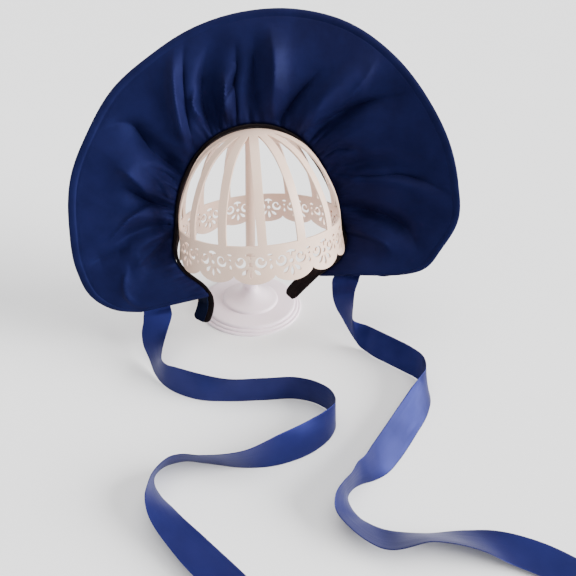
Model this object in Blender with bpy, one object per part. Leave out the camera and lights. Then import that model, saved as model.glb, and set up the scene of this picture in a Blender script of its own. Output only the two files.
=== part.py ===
"""Ruffled half bonnet with two ribbon ties, on an openwork dome stand.

The bonnet is a wide gathered satin brim sewn to a velvet head band that is worn over the
crown of the head. It sits on a painted metal stand: a turned foot, a post, and a dome of
fourteen bent bars over a pierced, scalloped collar. Its two ribbons hang from behind the
brim and lie in loose curves on the table.

World frame: +Z up, +X to the wearer's left, +Y to the back, origin at the centre of the
foot's underside. Tables are in millimetres and degrees, meshes in metres.
"""
import math
from collections import namedtuple

import bpy
import numpy as np
from mathutils import Matrix, Vector, geometry

MM = 0.001
GAP = 0.3                    # running clearance between pieces that touch

# Dome of the stand: bent bars over a flared, pierced collar
DOME_RADIUS = 71.0           # at the top of the collar
DOME_WALL = 1.6
DOME_CENTRE = (9.1, -8.9, 103.4)
DOME_LEAN = (-7.1, -5.55)    # turn about X (leans back), then about Y (leans to -X)
# How far the dome stands outside a ball, by height up its wall as an angle; the collar, which
# hangs straight down from zero, flares by the same table
Swell = namedtuple("Swell", "latitude offset")
DOME_SWELL = (
    Swell(-24.0, 3.6), Swell(-17.0, 2.0), Swell(-9.0, 0.8), Swell(0.0, 0.0), Swell(7.0, -0.6),
    Swell(16.0, -1.1), Swell(28.0, -1.3), Swell(40.0, -0.2), Swell(52.0, 1.4),
    Swell(69.0, 2.6), Swell(90.0, 3.2),
)
BAR_COUNT = 14
BAR_WIDTH = 7.2
BAR_STEPS = 10
HUB_HALF_ANGLE = 13.4        # where the bars run together, measured from the dome's axis
COLLAR_NOTCH = 24.0          # depth of the collar at the notches between its scallops
SCALLOP_DROP = 6.5
SCALLOP_STEPS = 7
FIRST_BAR = -83.4            # direction of the front bar about the dome's axis
SCALLOP_SHIFT = -6.4         # the scallops stand a quarter of a pitch beside the bars
MOTIF_OFFSET = -2.2          # and each pierced motif a little to one side of its scallop

# Foot and post
POST_RADIUS = 4.5
POST_SIDES = 16
FOOT_SIDES = 32
SOCKET_RADIUS = POST_RADIUS + GAP
SOCKET_FLOOR = 21.0
Turn = namedtuple("Turn", "radius height")
FOOT_PROFILE = (
    Turn(51.0, 0.0), Turn(51.0, 2.2), Turn(48.5, 3.0), Turn(48.5, 4.4),
    Turn(45.5, 5.2), Turn(45.5, 6.6), Turn(43.0, 7.4), Turn(28.0, 8.4),
    Turn(26.6, 10.2), Turn(20.0, 12.0), Turn(10.0, 17.5), Turn(6.8, 22.0),
    Turn(7.0, 25.0), Turn(9.6, 28.5), Turn(9.6, 31.0),
    Turn(SOCKET_RADIUS, 31.0), Turn(SOCKET_RADIUS, SOCKET_FLOOR),
)
POST_PROFILE = (
    Turn(POST_RADIUS, SOCKET_FLOOR + GAP), Turn(POST_RADIUS, 167.0),
    Turn(4.1, 171.0), Turn(2.6, 173.4),
)
POST_TOP = 174.4

# Bonnet frame: its Z axis points forward and up out of the face opening
BONNET_CENTRE = (7.9, -8.9, 103.4)
BONNET_TURN = (63.9, 0.0, 4.34)
BAND_WIDTH = 16.0
BAND_THICKNESS = 2.6
BAND_STATIONS = 60
BEND_WEIGHT = 25.0           # stations stand closer where the band bends and twists
FACING_THICKNESS = 0.8
FACING_GAP = 0.5             # a little more than GAP, for the band's twisted ends
FACING_BACK, FACING_FRONT = -7.6, 3.3     # the satin facing leaves the band's front edge bare
# The band's middle line: direction about the bonnet's axis, radius, step forward, and twist
# about its own run (positive twist turns the front edge outwards)
Band = namedtuple("Band", "angle radius forward twist")
BAND_PATH = (
    Band(-68.5, 75.6, 8.0, 30.0), Band(-65.0, 73.2, 7.6, 36.0), Band(-60.0, 70.9, 6.4, 39.0),
    Band(-52.5, 69.6, 4.8, 36.0), Band(-43.0, 70.6, 2.6, 24.0), Band(-35.0, 74.6, 1.0, 12.0),
    Band(-27.0, 79.8, -4.0, 3.0), Band(-20.0, 82.0, -12.0, 0.0), Band(-14.0, 82.1, -18.0, 0.0),
    Band(-9.0, 79.1, -21.0, 0.0), Band(-4.0, 76.4, -22.0, 0.0), Band(2.0, 74.4, -22.0, 0.0),
    Band(15.0, 72.4, -21.5, 0.0), Band(30.0, 71.4, -19.0, 0.0), Band(45.0, 72.1, -13.5, 0.0),
    Band(60.0, 74.4, -6.5, 0.0), Band(75.0, 75.9, -1.5, 0.0), Band(90.0, 76.1, 1.0, 0.0),
    Band(105.0, 75.7, 1.0, 0.0), Band(120.0, 74.7, 1.0, 0.0), Band(135.0, 72.8, 0.0, 0.0),
    Band(150.0, 71.0, -2.5, 0.0), Band(165.0, 70.4, -5.0, 0.0), Band(178.0, 70.7, -6.0, 0.0),
    Band(188.0, 72.1, -6.0, 0.0), Band(196.0, 75.0, -4.0, 0.0), Band(204.0, 79.6, 0.0, -5.0),
    Band(212.5, 81.6, 2.2, -15.0), Band(222.0, 81.7, 4.6, -30.0), Band(227.0, 81.3, 5.8, -39.0),
    Band(231.0, 81.4, 6.2, -45.0), Band(235.1, 83.1, 6.2, -50.0), Band(238.4, 86.8, 6.4, -58.0),
    Band(240.0, 91.4, 6.8, -65.0), Band(241.0, 97.0, 7.2, -69.0), Band(241.7, 105.4, 6.8, -70.0),
)
BAND_ROUND = 5.0             # corner radius of its two ends

# Brim
BRIM_WALL = 1.4
HEM_WALL = 2.4               # folded casing for the edge wire
BRIM_SEAM = 5.6              # how far forward of the band's middle the gathers are sewn
BRIM_COLUMNS = 76
BRIM_ROWS = (0.0, 0.07, 0.16, 0.27, 0.40, 0.54, 0.68, 0.82, 0.90, 0.92, 1.0)
BRIM_PUFF = 7.0              # how far the cloth swells forward between band and edge
# The brim's outline: where the cloth leaves the band, and where it ends
Brim = namedtuple("Brim", "band_angle angle reach forward")
BRIM_OUTLINE = (
    Brim(237.3, 219.8, 128.0, 24.0),
    Brim(228.5, 212.8, 144.0, 32.0),
    Brim(221.0, 206.5, 151.3, 36.0),
    Brim(211.0, 197.3, 152.6, 38.0),
    Brim(197.0, 185.1, 150.6, 38.0),
    Brim(180.0, 170.0, 150.6, 36.0),
    Brim(162.0, 155.0, 148.7, 33.0),
    Brim(145.0, 140.0, 150.4, 30.0),
    Brim(127.5, 125.0, 150.8, 27.0),
    Brim(111.0, 110.0, 155.3, 25.0),
    Brim(95.5, 95.0, 160.4, 24.0),
    Brim(80.0, 80.0, 166.0, 24.0),
    Brim(65.0, 65.0, 170.1, 25.0),
    Brim(50.0, 50.0, 169.8, 27.0),
    Brim(34.0, 35.0, 168.6, 29.0),
    Brim(17.0, 20.0, 168.7, 32.0),
    Brim(5.0, 10.0, 167.9, 34.0),
    Brim(-7.0, 0.0, 166.4, 36.0),
    Brim(-18.0, -9.4, 155.2, 36.0),
    Brim(-26.0, -16.1, 147.7, 34.0),
    Brim(-35.0, -21.4, 130.5, 30.0),
    Brim(-43.0, -26.1, 108.4, 24.0),
)
# Main folds: direction at the band and at the far end, how much of the brim they cross
# (0 at the band, 1 at the edge), half width at the far end, and height (below zero is a dent)
Fold = namedtuple("Fold", "band_angle end_angle start end width height")
BRIM_FOLDS = (
    Fold(206.0, 216.0, 0.25, 0.95, 11.0, 3.5),
    Fold(200.0, 212.0, 0.00, 0.70, 10.0, -3.5),
    Fold(192.0, 206.0, 0.00, 0.75, 10.0, 4.5),
    Fold(187.0, 197.0, 0.00, 0.95, 10.0, -4.0),
    Fold(180.0, 194.0, 0.08, 0.95, 10.0, 5.0),
    Fold(176.0, 171.0, 0.00, 0.60, 9.0, -4.5),
    Fold(172.0, 163.0, 0.05, 0.70, 10.0, 5.5),
    Fold(160.0, 160.0, 0.20, 1.00, 22.0, 8.0),
    Fold(150.0, 146.0, 0.00, 0.92, 11.0, -8.0),
    Fold(138.0, 116.0, 0.03, 0.98, 8.0, 4.5),
    Fold(118.0, 104.0, 0.00, 0.95, 13.0, -8.0),
    Fold(107.0, 105.0, 0.04, 0.55, 8.0, 5.0),
    Fold(95.0, 92.0, 0.00, 0.85, 10.0, -5.0),
    Fold(83.0, 86.0, 0.05, 0.90, 11.0, 6.0),
    Fold(78.0, 69.0, 0.00, 0.60, 8.0, -4.5),
    Fold(66.0, 54.0, 0.00, 0.95, 11.0, 7.0),
    Fold(60.0, 41.0, 0.03, 0.95, 12.0, -7.0),
    Fold(48.0, 36.0, 0.00, 0.80, 13.0, 5.0),
    Fold(34.0, 12.0, 0.00, 1.00, 12.0, -8.0),
    Fold(24.0, 2.0, 0.03, 1.00, 15.0, 7.0),
    Fold(8.0, -13.0, 0.00, 0.90, 12.0, -7.0),
    Fold(-9.0, -17.0, 0.03, 0.75, 12.0, 5.0),
)

# Ribbons
RIBBON_WIDTH = 25.0
RIBBON_WALL = 1.0
RIBBON_PIECES = 46
SEWN_STEPS = (15.0, 9.0, 3.0, -4.0)       # heights of the sewn end's rows above the brim's edge
SEWN_BACK = 3.5              # from the brim's middle surface to the ribbon's, along the axis
# Where a ribbon leaves the brim: its two edges in the bonnet's frame, how far it slants
# sideways for each millimetre up, and the part of the brim
Sewn = namedtuple("Sewn", "low high slant first last")
LEFT_SEWN = Sewn((-97.0, -81.0), (-75.2, -75.2), 0.0, 0.0, 0.16)
RIGHT_SEWN = Sewn((69.8, -49.4), (89.4, -48.6), 0.55, 0.86, 1.0)
# A place along a ribbon: its lower edge, and where its upper edge leans, by direction and angle
Place = namedtuple("Place", "x y z toward lean")
LEFT_RUN = (
    Place(-84.8, -75.0, 32.0, 12.0, 78.0), Place(-86.0, -79.5, 23.0, -4.0, 73.0),
    Place(-84.0, -86.0, 14.0, -19.0, 62.0), Place(-78.0, -94.0, 6.5, -31.0, 45.0),
    Place(-70.0, -107.0, 1.5, -35.0, 28.0), Place(-63.0, -115.5, 0.5, -23.0, 20.0),
    Place(-55.0, -122.0, 0.3, 6.0, 17.0), Place(-34.0, -131.0, 0.3, 70.0, 11.0),
    Place(-5.0, -132.0, 0.3, -88.0, 1.0), Place(22.0, -129.0, 0.3, -84.0, 1.0),
    Place(50.0, -126.0, 0.3, -91.0, 2.0), Place(64.0, -129.5, 0.3, -116.0, 3.0),
    Place(75.0, -138.0, 0.3, -144.0, 3.0), Place(79.0, -150.0, 0.3, 179.0, 6.0),
    Place(74.5, -163.0, 0.3, 149.0, 18.0), Place(65.0, -173.5, 0.3, 126.0, 24.0),
    Place(41.0, -187.5, 0.3, 110.0, 18.0), Place(14.0, -192.5, 0.3, -87.0, 10.0),
    Place(-14.0, -190.5, 0.3, -93.0, 25.0), Place(-30.0, -190.0, 0.3, -82.0, 26.0),
    Place(-41.0, -194.5, 0.3, -62.0, 26.0), Place(-46.5, -204.0, 0.3, -72.0, 29.0),
    Place(-44.0, -211.0, 0.3, -89.0, 31.0), Place(-39.5, -216.5, 0.3, -109.0, 32.0),
    Place(-28.0, -226.0, 0.3, -134.0, 46.0), Place(-6.0, -243.0, 0.3, -128.0, 63.0),
    Place(16.0, -260.0, 0.3, -128.0, 67.0), Place(31.0, -272.0, 0.3, -129.0, 70.0),
)
RIGHT_RUN = (
    Place(76.4, -36.5, 51.6, -24.0, 67.0), Place(77.6, -42.0, 43.6, -29.0, 54.0),
    Place(81.3, -45.0, 34.3, -39.0, 43.0), Place(87.0, -49.0, 26.3, -56.0, 31.0),
    Place(93.1, -53.0, 17.5, -82.0, 19.0), Place(99.8, -56.0, 8.0, -138.0, 12.0),
    Place(105.5, -59.5, 2.0, 131.0, 14.0), Place(110.0, -62.5, 0.3, 100.0, 18.0),
    Place(117.0, -70.0, 0.3, 72.0, 19.0), Place(128.0, -78.0, 0.3, 52.0, 17.0),
    Place(141.0, -87.5, 0.3, 53.0, 14.0), Place(151.0, -95.5, 0.3, 41.0, 4.0),
    Place(158.0, -107.0, 0.3, -164.0, 16.0), Place(158.0, -120.0, 0.3, 170.0, 34.0),
    Place(153.5, -133.0, 0.3, 153.0, 45.0), Place(139.0, -157.0, 0.3, 147.0, 49.0),
    Place(123.0, -180.0, 0.3, 143.0, 45.0), Place(114.0, -190.5, 0.3, 146.0, 38.0),
    Place(102.0, -198.0, 0.3, 165.0, 21.0), Place(94.0, -201.0, 0.3, 178.0, 12.0),
    Place(87.0, -206.0, 0.3, -131.0, 11.0), Place(84.0, -212.0, 0.3, -146.0, 16.0),
    Place(86.0, -219.0, 0.3, -165.0, 31.0), Place(90.0, -224.5, 0.3, -162.0, 46.0),
    Place(96.0, -228.6, 0.3, -135.0, 51.0), Place(103.0, -231.5, 0.3, -106.0, 56.0),
    Place(130.0, -233.5, 0.3, -88.0, 40.0), Place(158.0, -230.0, 0.3, -85.0, 57.0),
    Place(180.0, -229.5, 0.3, -97.0, 76.0), Place(205.0, -236.0, 0.3, -112.0, 83.0),
    Place(231.0, -250.0, 0.3, -118.0, 84.0),
)

# Paints and cloths: colour, roughness, metallic
FINISHES = {
    "cream_paint": ((0.80, 0.74, 0.66), 0.42, 0.0),
    "foot_paint": ((0.78, 0.73, 0.78), 0.38, 0.0),
    "navy_satin": ((0.010, 0.018, 0.095), 0.42, 0.0),
    "black_velvet": ((0.010, 0.009, 0.010), 0.90, 0.0),
    "royal_ribbon": ((0.022, 0.060, 0.300), 0.36, 0.0),
}


def clear_scene():
    """Remove the objects that the file opens with."""
    for item in list(bpy.data.objects):
        bpy.data.objects.remove(item)


def finish(name):
    """Return the named Principled material."""
    material = bpy.data.materials.get(name)
    if material is None:
        colour, roughness, metallic = FINISHES[name]
        material = bpy.data.materials.new(name)
        material.use_nodes = True
        shader = material.node_tree.nodes["Principled BSDF"]
        shader.inputs["Base Color"].default_value = (*colour, 1.0)
        shader.inputs["Roughness"].default_value = roughness
        shader.inputs["Metallic"].default_value = metallic
    return material


def add_piece(name, points, faces, material, parent=None):
    """Make one named mesh object from points in millimetres."""
    mesh = bpy.data.meshes.new(name)
    mesh.from_pydata((np.asarray(points) * MM).tolist(), [], faces)
    mesh.validate()
    mesh.shade_smooth()
    mesh.set_sharp_from_angle(angle=math.radians(40))
    mesh.materials.append(finish(material))
    piece = bpy.data.objects.new(name, mesh)
    piece.parent = parent
    bpy.context.scene.collection.objects.link(piece)
    return piece


def add_frame(name, location, turn):
    """Add an empty that carries the pieces modelled in a tilted frame."""
    empty = bpy.data.objects.new(name, None)
    empty.location = Vector(location) * MM
    empty.rotation_euler = [math.radians(angle) for angle in turn]
    bpy.context.scene.collection.objects.link(empty)
    return empty


def turn_matrix(turn):
    """Rotation matrix of an XYZ Euler turn in degrees."""
    x, y, z = (math.radians(angle) for angle in turn)
    rotation = Matrix.Rotation(z, 3, "Z") @ Matrix.Rotation(y, 3, "Y") @ Matrix.Rotation(x, 3, "X")
    return np.array(rotation)


def through(table_x, table_y, x):
    """Smooth curve through a table's rows: cubic pieces with the rows' own mean slopes."""
    table_x, table_y, x = (np.asarray(item, float) for item in (table_x, table_y, x))
    chord = np.diff(table_y) / np.diff(table_x)
    step = np.diff(table_x)
    slope = np.empty(len(table_x))
    slope[1:-1] = (chord[:-1] * step[1:] + chord[1:] * step[:-1]) / (step[:-1] + step[1:])
    slope[0], slope[-1] = chord[0], chord[-1]
    i = np.clip(np.searchsorted(table_x, x, side="right") - 1, 0, len(step) - 1)
    t = (x - table_x[i]) / step[i]
    rise = table_y[i + 1] - table_y[i]
    return (table_y[i] + rise * (3 * t ** 2 - 2 * t ** 3)
            + step[i] * (slope[i] * (t ** 3 - 2 * t ** 2 + t) + slope[i + 1] * (t ** 3 - t ** 2)))


def column(table, name):
    """One named column of a table."""
    return np.array([getattr(row, name) for row in table])


def shell(front, back, faces):
    """Close a sheet: its front, its back and a wall along every open edge."""
    count = len(front)
    used = {(face[i], face[(i + 1) % len(face)]) for face in faces for i in range(len(face))}
    closed = [tuple(face) for face in faces]
    closed += [tuple(index + count for index in reversed(face)) for face in faces]
    closed += [(b, a, a + count, b + count) for a, b in used if (b, a) not in used]
    return np.vstack([front, back]), closed


def grid_faces(columns, rows):
    """Quads of a grid of points stored column by column."""
    return [(i * rows + j, (i + 1) * rows + j, (i + 1) * rows + j + 1, i * rows + j + 1)
            for i in range(columns - 1) for j in range(rows - 1)]


def grid_normals(grid):
    """Unit normals of a grid of points, from its two directions."""
    normal = np.cross(np.gradient(grid, axis=0), np.gradient(grid, axis=1))
    return normal / np.linalg.norm(normal, axis=-1, keepdims=True)


def add_turned(name, profile, sides, material, top=None):
    """Turn a profile about Z, with flat discs on its lowest and last rings."""
    angles = np.linspace(0, 2 * math.pi, sides, endpoint=False)
    rings = [[(row.radius * math.cos(a), row.radius * math.sin(a), row.height) for a in angles]
             for row in profile]
    points = [point for ring in rings for point in ring]
    faces = [(r * sides + i, r * sides + (i + 1) % sides,
              (r + 1) * sides + (i + 1) % sides, (r + 1) * sides + i)
             for r in range(len(profile) - 1) for i in range(sides)]
    faces.append(tuple(reversed(range(sides))))
    last = (len(profile) - 1) * sides
    if top is None:
        faces.append(tuple(range(last, last + sides)))
    else:
        points.append((0, 0, top))
        faces += [(last + i, last + (i + 1) % sides, len(points) - 1) for i in range(sides)]
    return add_piece(name, points, faces, material)


def ellipse(x, y, half_width, half_height, sides, lean=0.0):
    """Outline of an oval opening."""
    turns = [2 * math.pi * i / sides for i in range(sides)]
    lean = math.radians(lean)
    return [(x + half_width * math.cos(t) * math.cos(lean) - half_height * math.sin(t) * math.sin(lean),
             y + half_width * math.cos(t) * math.sin(lean) + half_height * math.sin(t) * math.cos(lean))
            for t in turns]


def petal(x, y, length, width, lean):
    """Outline of a drop-shaped opening with its tip at x, y, hanging down at a lean."""
    lean = math.radians(lean)
    along = np.array([math.sin(lean), -math.cos(lean)])
    across = np.array([along[1], -along[0]]) * width / 2
    tip = np.array([x, y])
    return [tuple(point) for point in (
        tip, tip + along * length * 0.6 + across, tip + along * length,
        tip + along * length * 0.6 - across)]


def scroll(x, y, radius, width, start, sweep, steps, side):
    """Outline of a C-shaped slot, mirrored by side = -1."""
    turns = [math.radians(start + sweep * i / steps) for i in range(steps + 1)]
    outer = [(x + side * (radius + width / 2) * math.cos(t), y + (radius + width / 2) * math.sin(t))
             for t in turns]
    inner = [(x + side * (radius - width / 2) * math.cos(t), y + (radius - width / 2) * math.sin(t))
             for t in turns]
    return outer + inner[::-1]


def crown(x, y):
    """Outline of the small three-lobed opening at the top of a motif, with its stem."""
    half = [(0.7, -5.2), (0.9, -2.4), (3.6, -2.6), (2.8, -0.4)]
    return [(x + dx, y + dy) for dx, dy in half] + [(x - dx, y + dy) for dx, dy in reversed(half)]


def motif_openings(middle):
    """Openings of one pierced motif of the collar, centred on a line down its scallop."""
    openings = [crown(middle, -5.4), ellipse(middle, -15.0, 1.6, 1.6, 5)]
    for side in (-1, 1):
        openings.append(scroll(middle + side * 8.4, -13.0, 3.7, 1.9, 100, 270, 6, side))
        openings.append(petal(middle + side * 2.2, -18.6, 7.4, 2.6, side * 42))
    openings.append(petal(middle, -18.4, 8.2, 2.4, 0))
    return openings


def inside(point, outline):
    """Whether a flat point lies inside an outline."""
    x, y = point
    crossings = 0
    for (x0, y0), (x1, y1) in zip(outline, outline[1:] + outline[:1]):
        if (y0 > y) != (y1 > y) and x < x0 + (y - y0) * (x1 - x0) / (y1 - y0):
            crossings += 1
    return crossings % 2 == 1


def collar_panel(pitch, bar_middle):
    """Flat triangles of one scallop of the collar, with its openings cut through."""
    half_bar = BAR_WIDTH / 2
    drop = [(pitch * i / SCALLOP_STEPS,
             -COLLAR_NOTCH - SCALLOP_DROP * math.sin(math.pi * i / SCALLOP_STEPS) ** 0.6)
            for i in range(1, SCALLOP_STEPS)]
    outline = [(0, 0), (0, -COLLAR_NOTCH), *drop, (pitch, -COLLAR_NOTCH), (pitch, 0),
               (bar_middle + half_bar, 0), (bar_middle - half_bar, 0),
               ((bar_middle - half_bar) / 2, 0)]
    openings = motif_openings(pitch / 2 + MOTIF_OFFSET)
    openings.append(ellipse(pitch - 2.9, -7.4, 1.9, 1.0, 5))
    points, edges = [], []
    for loop in [outline, *openings]:
        first = len(points)
        points += loop
        edges += [(first + i, first + (i + 1) % len(loop)) for i in range(len(loop))]
    flat, _, triangles, *_ = geometry.delaunay_2d_cdt([Vector(p) for p in points], edges, [], 0, 1e-5)
    kept = []
    for triangle in triangles:
        centre = sum((flat[i] for i in triangle), Vector((0, 0))) / 3
        if inside(centre, outline) and not any(inside(centre, loop) for loop in openings):
            kept.append([flat[i] for i in triangle])
    return kept


class DomeSheet:
    """The dome as one sheet, point by point: direction about the axis, and height along it."""

    def __init__(self):
        self.index = {}
        self.places = []
        self.faces = []

    def point(self, angle, height):
        """Index of the point at an angle (radians) and a length up the wall from the collar's top."""
        angle %= 2 * math.pi
        key = (round(angle, 5) % round(2 * math.pi, 5), round(height, 3))
        if key not in self.index:
            self.index[key] = len(self.places)
            self.places.append((angle, height))
        return self.index[key]

    def surface(self, inset):
        """Points of the sheet: a swollen ball above the collar's top, a flared tube below it."""
        angle, height = np.array(self.places).T
        latitude = np.degrees(height / DOME_RADIUS)
        radius = DOME_RADIUS - inset + through(column(DOME_SWELL, "latitude"),
                                               column(DOME_SWELL, "offset"), latitude)
        rise = np.clip(height, 0, None) / DOME_RADIUS
        level = radius * np.cos(rise)
        return np.column_stack([level * np.cos(angle), level * np.sin(angle),
                                radius * np.sin(rise) + np.clip(height, None, 0)])


def add_dome(parent):
    """Hub, bars and pierced collar: one soldered piece."""
    sheet = DomeSheet()
    pitch_angle = 2 * math.pi / BAR_COUNT
    pitch = DOME_RADIUS * pitch_angle
    bar_middle = pitch / 2 - math.radians(SCALLOP_SHIFT) * DOME_RADIUS
    panel = collar_panel(pitch, bar_middle)
    quarter = DOME_RADIUS * math.pi / 2
    hub_edge = quarter - DOME_RADIUS * math.radians(HUB_HALF_ANGLE)
    levels = np.linspace(0, hub_edge, BAR_STEPS + 1)
    hub_ring = []
    for k in range(BAR_COUNT):
        bar_angle = math.radians(FIRST_BAR) + k * pitch_angle
        panel_angle = bar_angle - bar_middle / DOME_RADIUS
        sheet.faces += [tuple(sheet.point(panel_angle + x / DOME_RADIUS, y) for x, y in triangle)
                        for triangle in panel]
        sides = []
        for level in levels:
            half = BAR_WIDTH / 2 / (DOME_RADIUS * math.cos(level / DOME_RADIUS))
            sides.append((sheet.point(bar_angle - half, level), sheet.point(bar_angle + half, level)))
        sheet.faces += [(low[0], low[1], high[1], high[0]) for low, high in zip(sides, sides[1:])]
        hub_ring += sides[-1]
    apex = sheet.point(0.0, quarter)
    sheet.faces += [(a, b, apex) for a, b in zip(hub_ring, hub_ring[1:] + hub_ring[:1])]
    points, faces = shell(sheet.surface(0), sheet.surface(DOME_WALL), sheet.faces)
    return add_piece("stand_dome", points, faces, "cream_paint", parent)


def polar(angle, radius, forward):
    """Points of the bonnet's frame from a direction in degrees, a radius and a step forward."""
    angle = np.radians(angle)
    return np.stack([radius * np.cos(angle), radius * np.sin(angle), forward + 0 * angle], axis=-1)


def band_line(angle):
    """Points of the band's middle line."""
    rows = column(BAND_PATH, "angle")
    radius, forward = (through(rows, column(BAND_PATH, name), angle) for name in ("radius", "forward"))
    return polar(angle, radius, forward)


def band_frame(angle):
    """The band's middle line with its outward and forward directions, square to its run."""
    run = band_line(angle + 0.2) - band_line(angle - 0.2)
    run /= np.linalg.norm(run, axis=-1, keepdims=True)
    side = np.cross(run, [0.0, 0.0, 1.0])
    side /= np.linalg.norm(side, axis=-1, keepdims=True)
    ahead = np.cross(side, run)
    twist = through(column(BAND_PATH, "angle"), column(BAND_PATH, "twist"), angle)
    turn = np.radians(twist)[..., None]
    return (band_line(angle), side * np.cos(turn) - ahead * np.sin(turn),
            ahead * np.cos(turn) + side * np.sin(turn))


def add_strap(name, back, front, inner, outer, material, parent):
    """A strap along the band's line, between two widths and two thicknesses."""
    fine = np.linspace(BAND_PATH[0].angle, BAND_PATH[-1].angle, 1500)
    middle, outward, forward = band_frame(fine)
    bend = np.linalg.norm(np.diff(outward, axis=0), axis=1) + np.linalg.norm(np.diff(forward, axis=0), axis=1)
    step = np.linalg.norm(np.diff(middle, axis=0), axis=1)
    length, weighted = (np.concatenate([[0], np.cumsum(item)]) for item in (step, step + BEND_WEIGHT * bend))
    angle = np.interp(np.linspace(0, weighted[-1], BAND_STATIONS), weighted, fine)
    corners = np.array([0.12, 0.45, 1.0]) * BAND_ROUND
    angle = np.sort(np.concatenate([angle, np.interp(corners, length, fine),
                                    np.interp(length[-1] - corners, length, fine)]))
    from_end = np.interp(angle, fine, np.minimum(length, length[-1] - length))
    trim = BAND_ROUND - np.sqrt(BAND_ROUND ** 2 - np.clip(BAND_ROUND - from_end, 0, None) ** 2)
    middle, outward, forward = band_frame(angle)
    edges = np.stack([np.maximum(back, trim - BAND_WIDTH / 2), np.minimum(front, BAND_WIDTH / 2 - trim)], -1)
    grid = middle[:, None] + forward[:, None] * edges[..., None]
    outer_face = (grid + outward[:, None] * outer).reshape(-1, 3)
    inner_face = (grid + outward[:, None] * inner).reshape(-1, 3)
    points, faces = shell(outer_face, inner_face, grid_faces(len(angle), 2))
    return add_piece(name, points, faces, material, parent)


def brim_sheet(share, across):
    """Middle surface of the brim.

    share runs from the left lower edge over the top to the right lower edge, and across
    from the band to the outer edge. The cloth is a straight line from its seam on the band
    to its wired edge, swollen forward, with each fold added as a bell-shaped ridge.
    """
    outline = polar(column(BRIM_OUTLINE, "angle"), column(BRIM_OUTLINE, "reach"),
                    column(BRIM_OUTLINE, "forward"))
    run = np.concatenate([[0], np.cumsum(np.linalg.norm(np.diff(outline, axis=0), axis=1))])
    run /= run[-1]
    band_angle, angle, reach, forward = (through(run, column(BRIM_OUTLINE, name), share)
                                         for name in Brim._fields)
    middle, outward, ahead = band_frame(band_angle)
    seam = middle + outward * (BAND_THICKNESS / 2 + FACING_GAP + BRIM_WALL / 2) + ahead * BRIM_SEAM
    edge = polar(angle, reach, forward)
    blend = across[..., None]
    sheet = seam * (1 - blend) + edge * blend
    radius = np.hypot(sheet[..., 0], sheet[..., 1])
    direction = band_angle * (1 - across) + angle * across
    ends = np.clip(np.minimum(share, 1 - share) / 0.10, 0, 1)
    across = np.clip(across, 0, 1)
    lift = BRIM_PUFF * np.sin(np.pi * across ** 0.75)
    for fold in BRIM_FOLDS:
        along = np.clip((across - fold.start) / (fold.end - fold.start), 0, 1)
        crest = fold.band_angle + (fold.end_angle - fold.band_angle) * along
        width = fold.width * (0.55 + 0.45 * along)
        offset = np.radians(direction - crest) * radius
        lift = lift + fold.height * np.exp(-(offset / width) ** 2) * np.sin(np.pi * along ** 0.6) ** 1.4
    sheet[..., 2] += lift * (0.25 + 0.75 * ends)
    return sheet


def brim_grid(share, across):
    """Grid of the brim's middle surface and its unit normals, facing forward."""
    sheet = brim_sheet(*np.meshgrid(share, across, indexing="ij"))
    normal = grid_normals(sheet)
    return sheet, normal * np.sign(normal[..., 2:].mean())


def add_brim(parent):
    """The gathered brim: a satin wall, thicker in the folded casing along its free edges."""
    hem = 0.010
    inner = np.linspace(0.02, 0.98, BRIM_COLUMNS - 5)
    share = np.concatenate([[0, hem, hem * 1.4], inner, [1 - hem * 1.4, 1 - hem, 1]])
    across = np.array(BRIM_ROWS)
    sheet, normal = brim_grid(share, across)
    edge = np.minimum(share, 1 - share)[:, None] <= hem * 1.1
    casing = edge | (across[None, :] >= BRIM_ROWS[-2])
    wall = np.where(casing, HEM_WALL, BRIM_WALL)[..., None]
    wall[:, :1] = BRIM_WALL
    front = (sheet + normal * wall / 2).reshape(-1, 3)
    back = (sheet - normal * wall / 2).reshape(-1, 3)
    points, faces = shell(front, back, grid_faces(len(share), len(across)))
    return add_piece("brim", points, faces, "navy_satin", parent)


def lean_vector(toward, lean):
    """Unit vector that stands upright at lean 0 and lies in a direction at lean 90."""
    toward, lean = np.radians(toward), np.radians(lean)
    return np.stack([np.sin(lean) * np.cos(toward), np.sin(lean) * np.sin(toward), np.cos(lean)], -1)


def behind_brim(sewn):
    """Edges of a ribbon's sewn end: straight rows just behind the brim's back."""
    share, across = np.linspace(sewn.first, sewn.last, 50), np.linspace(0, 1, 90)
    sheet = brim_sheet(*np.meshgrid(share, across, indexing="ij")).reshape(-1, 3)
    part = np.linspace(0, 1, 9)
    rows = []
    for step in SEWN_STEPS:
        line = np.outer(1 - part, sewn.low) + np.outer(part, sewn.high) + [sewn.slant * step, step]
        near = ((sheet[None, :, :2] - line[:, None]) ** 2).sum(-1).argmin(1)
        depth = sheet[near, 2] - SEWN_BACK
        straight = depth[0] * (1 - part) + depth[-1] * part
        straight -= (straight - depth).max()
        rows.append([(*line[i], straight[i]) for i in (0, -1)])
    return np.array(rows) @ turn_matrix(BONNET_TURN).T + BONNET_CENTRE


def ribbon_edges(sewn, run):
    """Rows of a ribbon's two edges: sewn behind the brim, hanging, then along the table."""
    lower = np.array([(row.x, row.y, row.z) for row in run])
    upper = lower + RIBBON_WIDTH * lean_vector(column(run, "toward"), column(run, "lean"))
    start = behind_brim(sewn)
    return np.vstack([start[:, 0], lower]), np.vstack([start[:, 1], upper])


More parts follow.
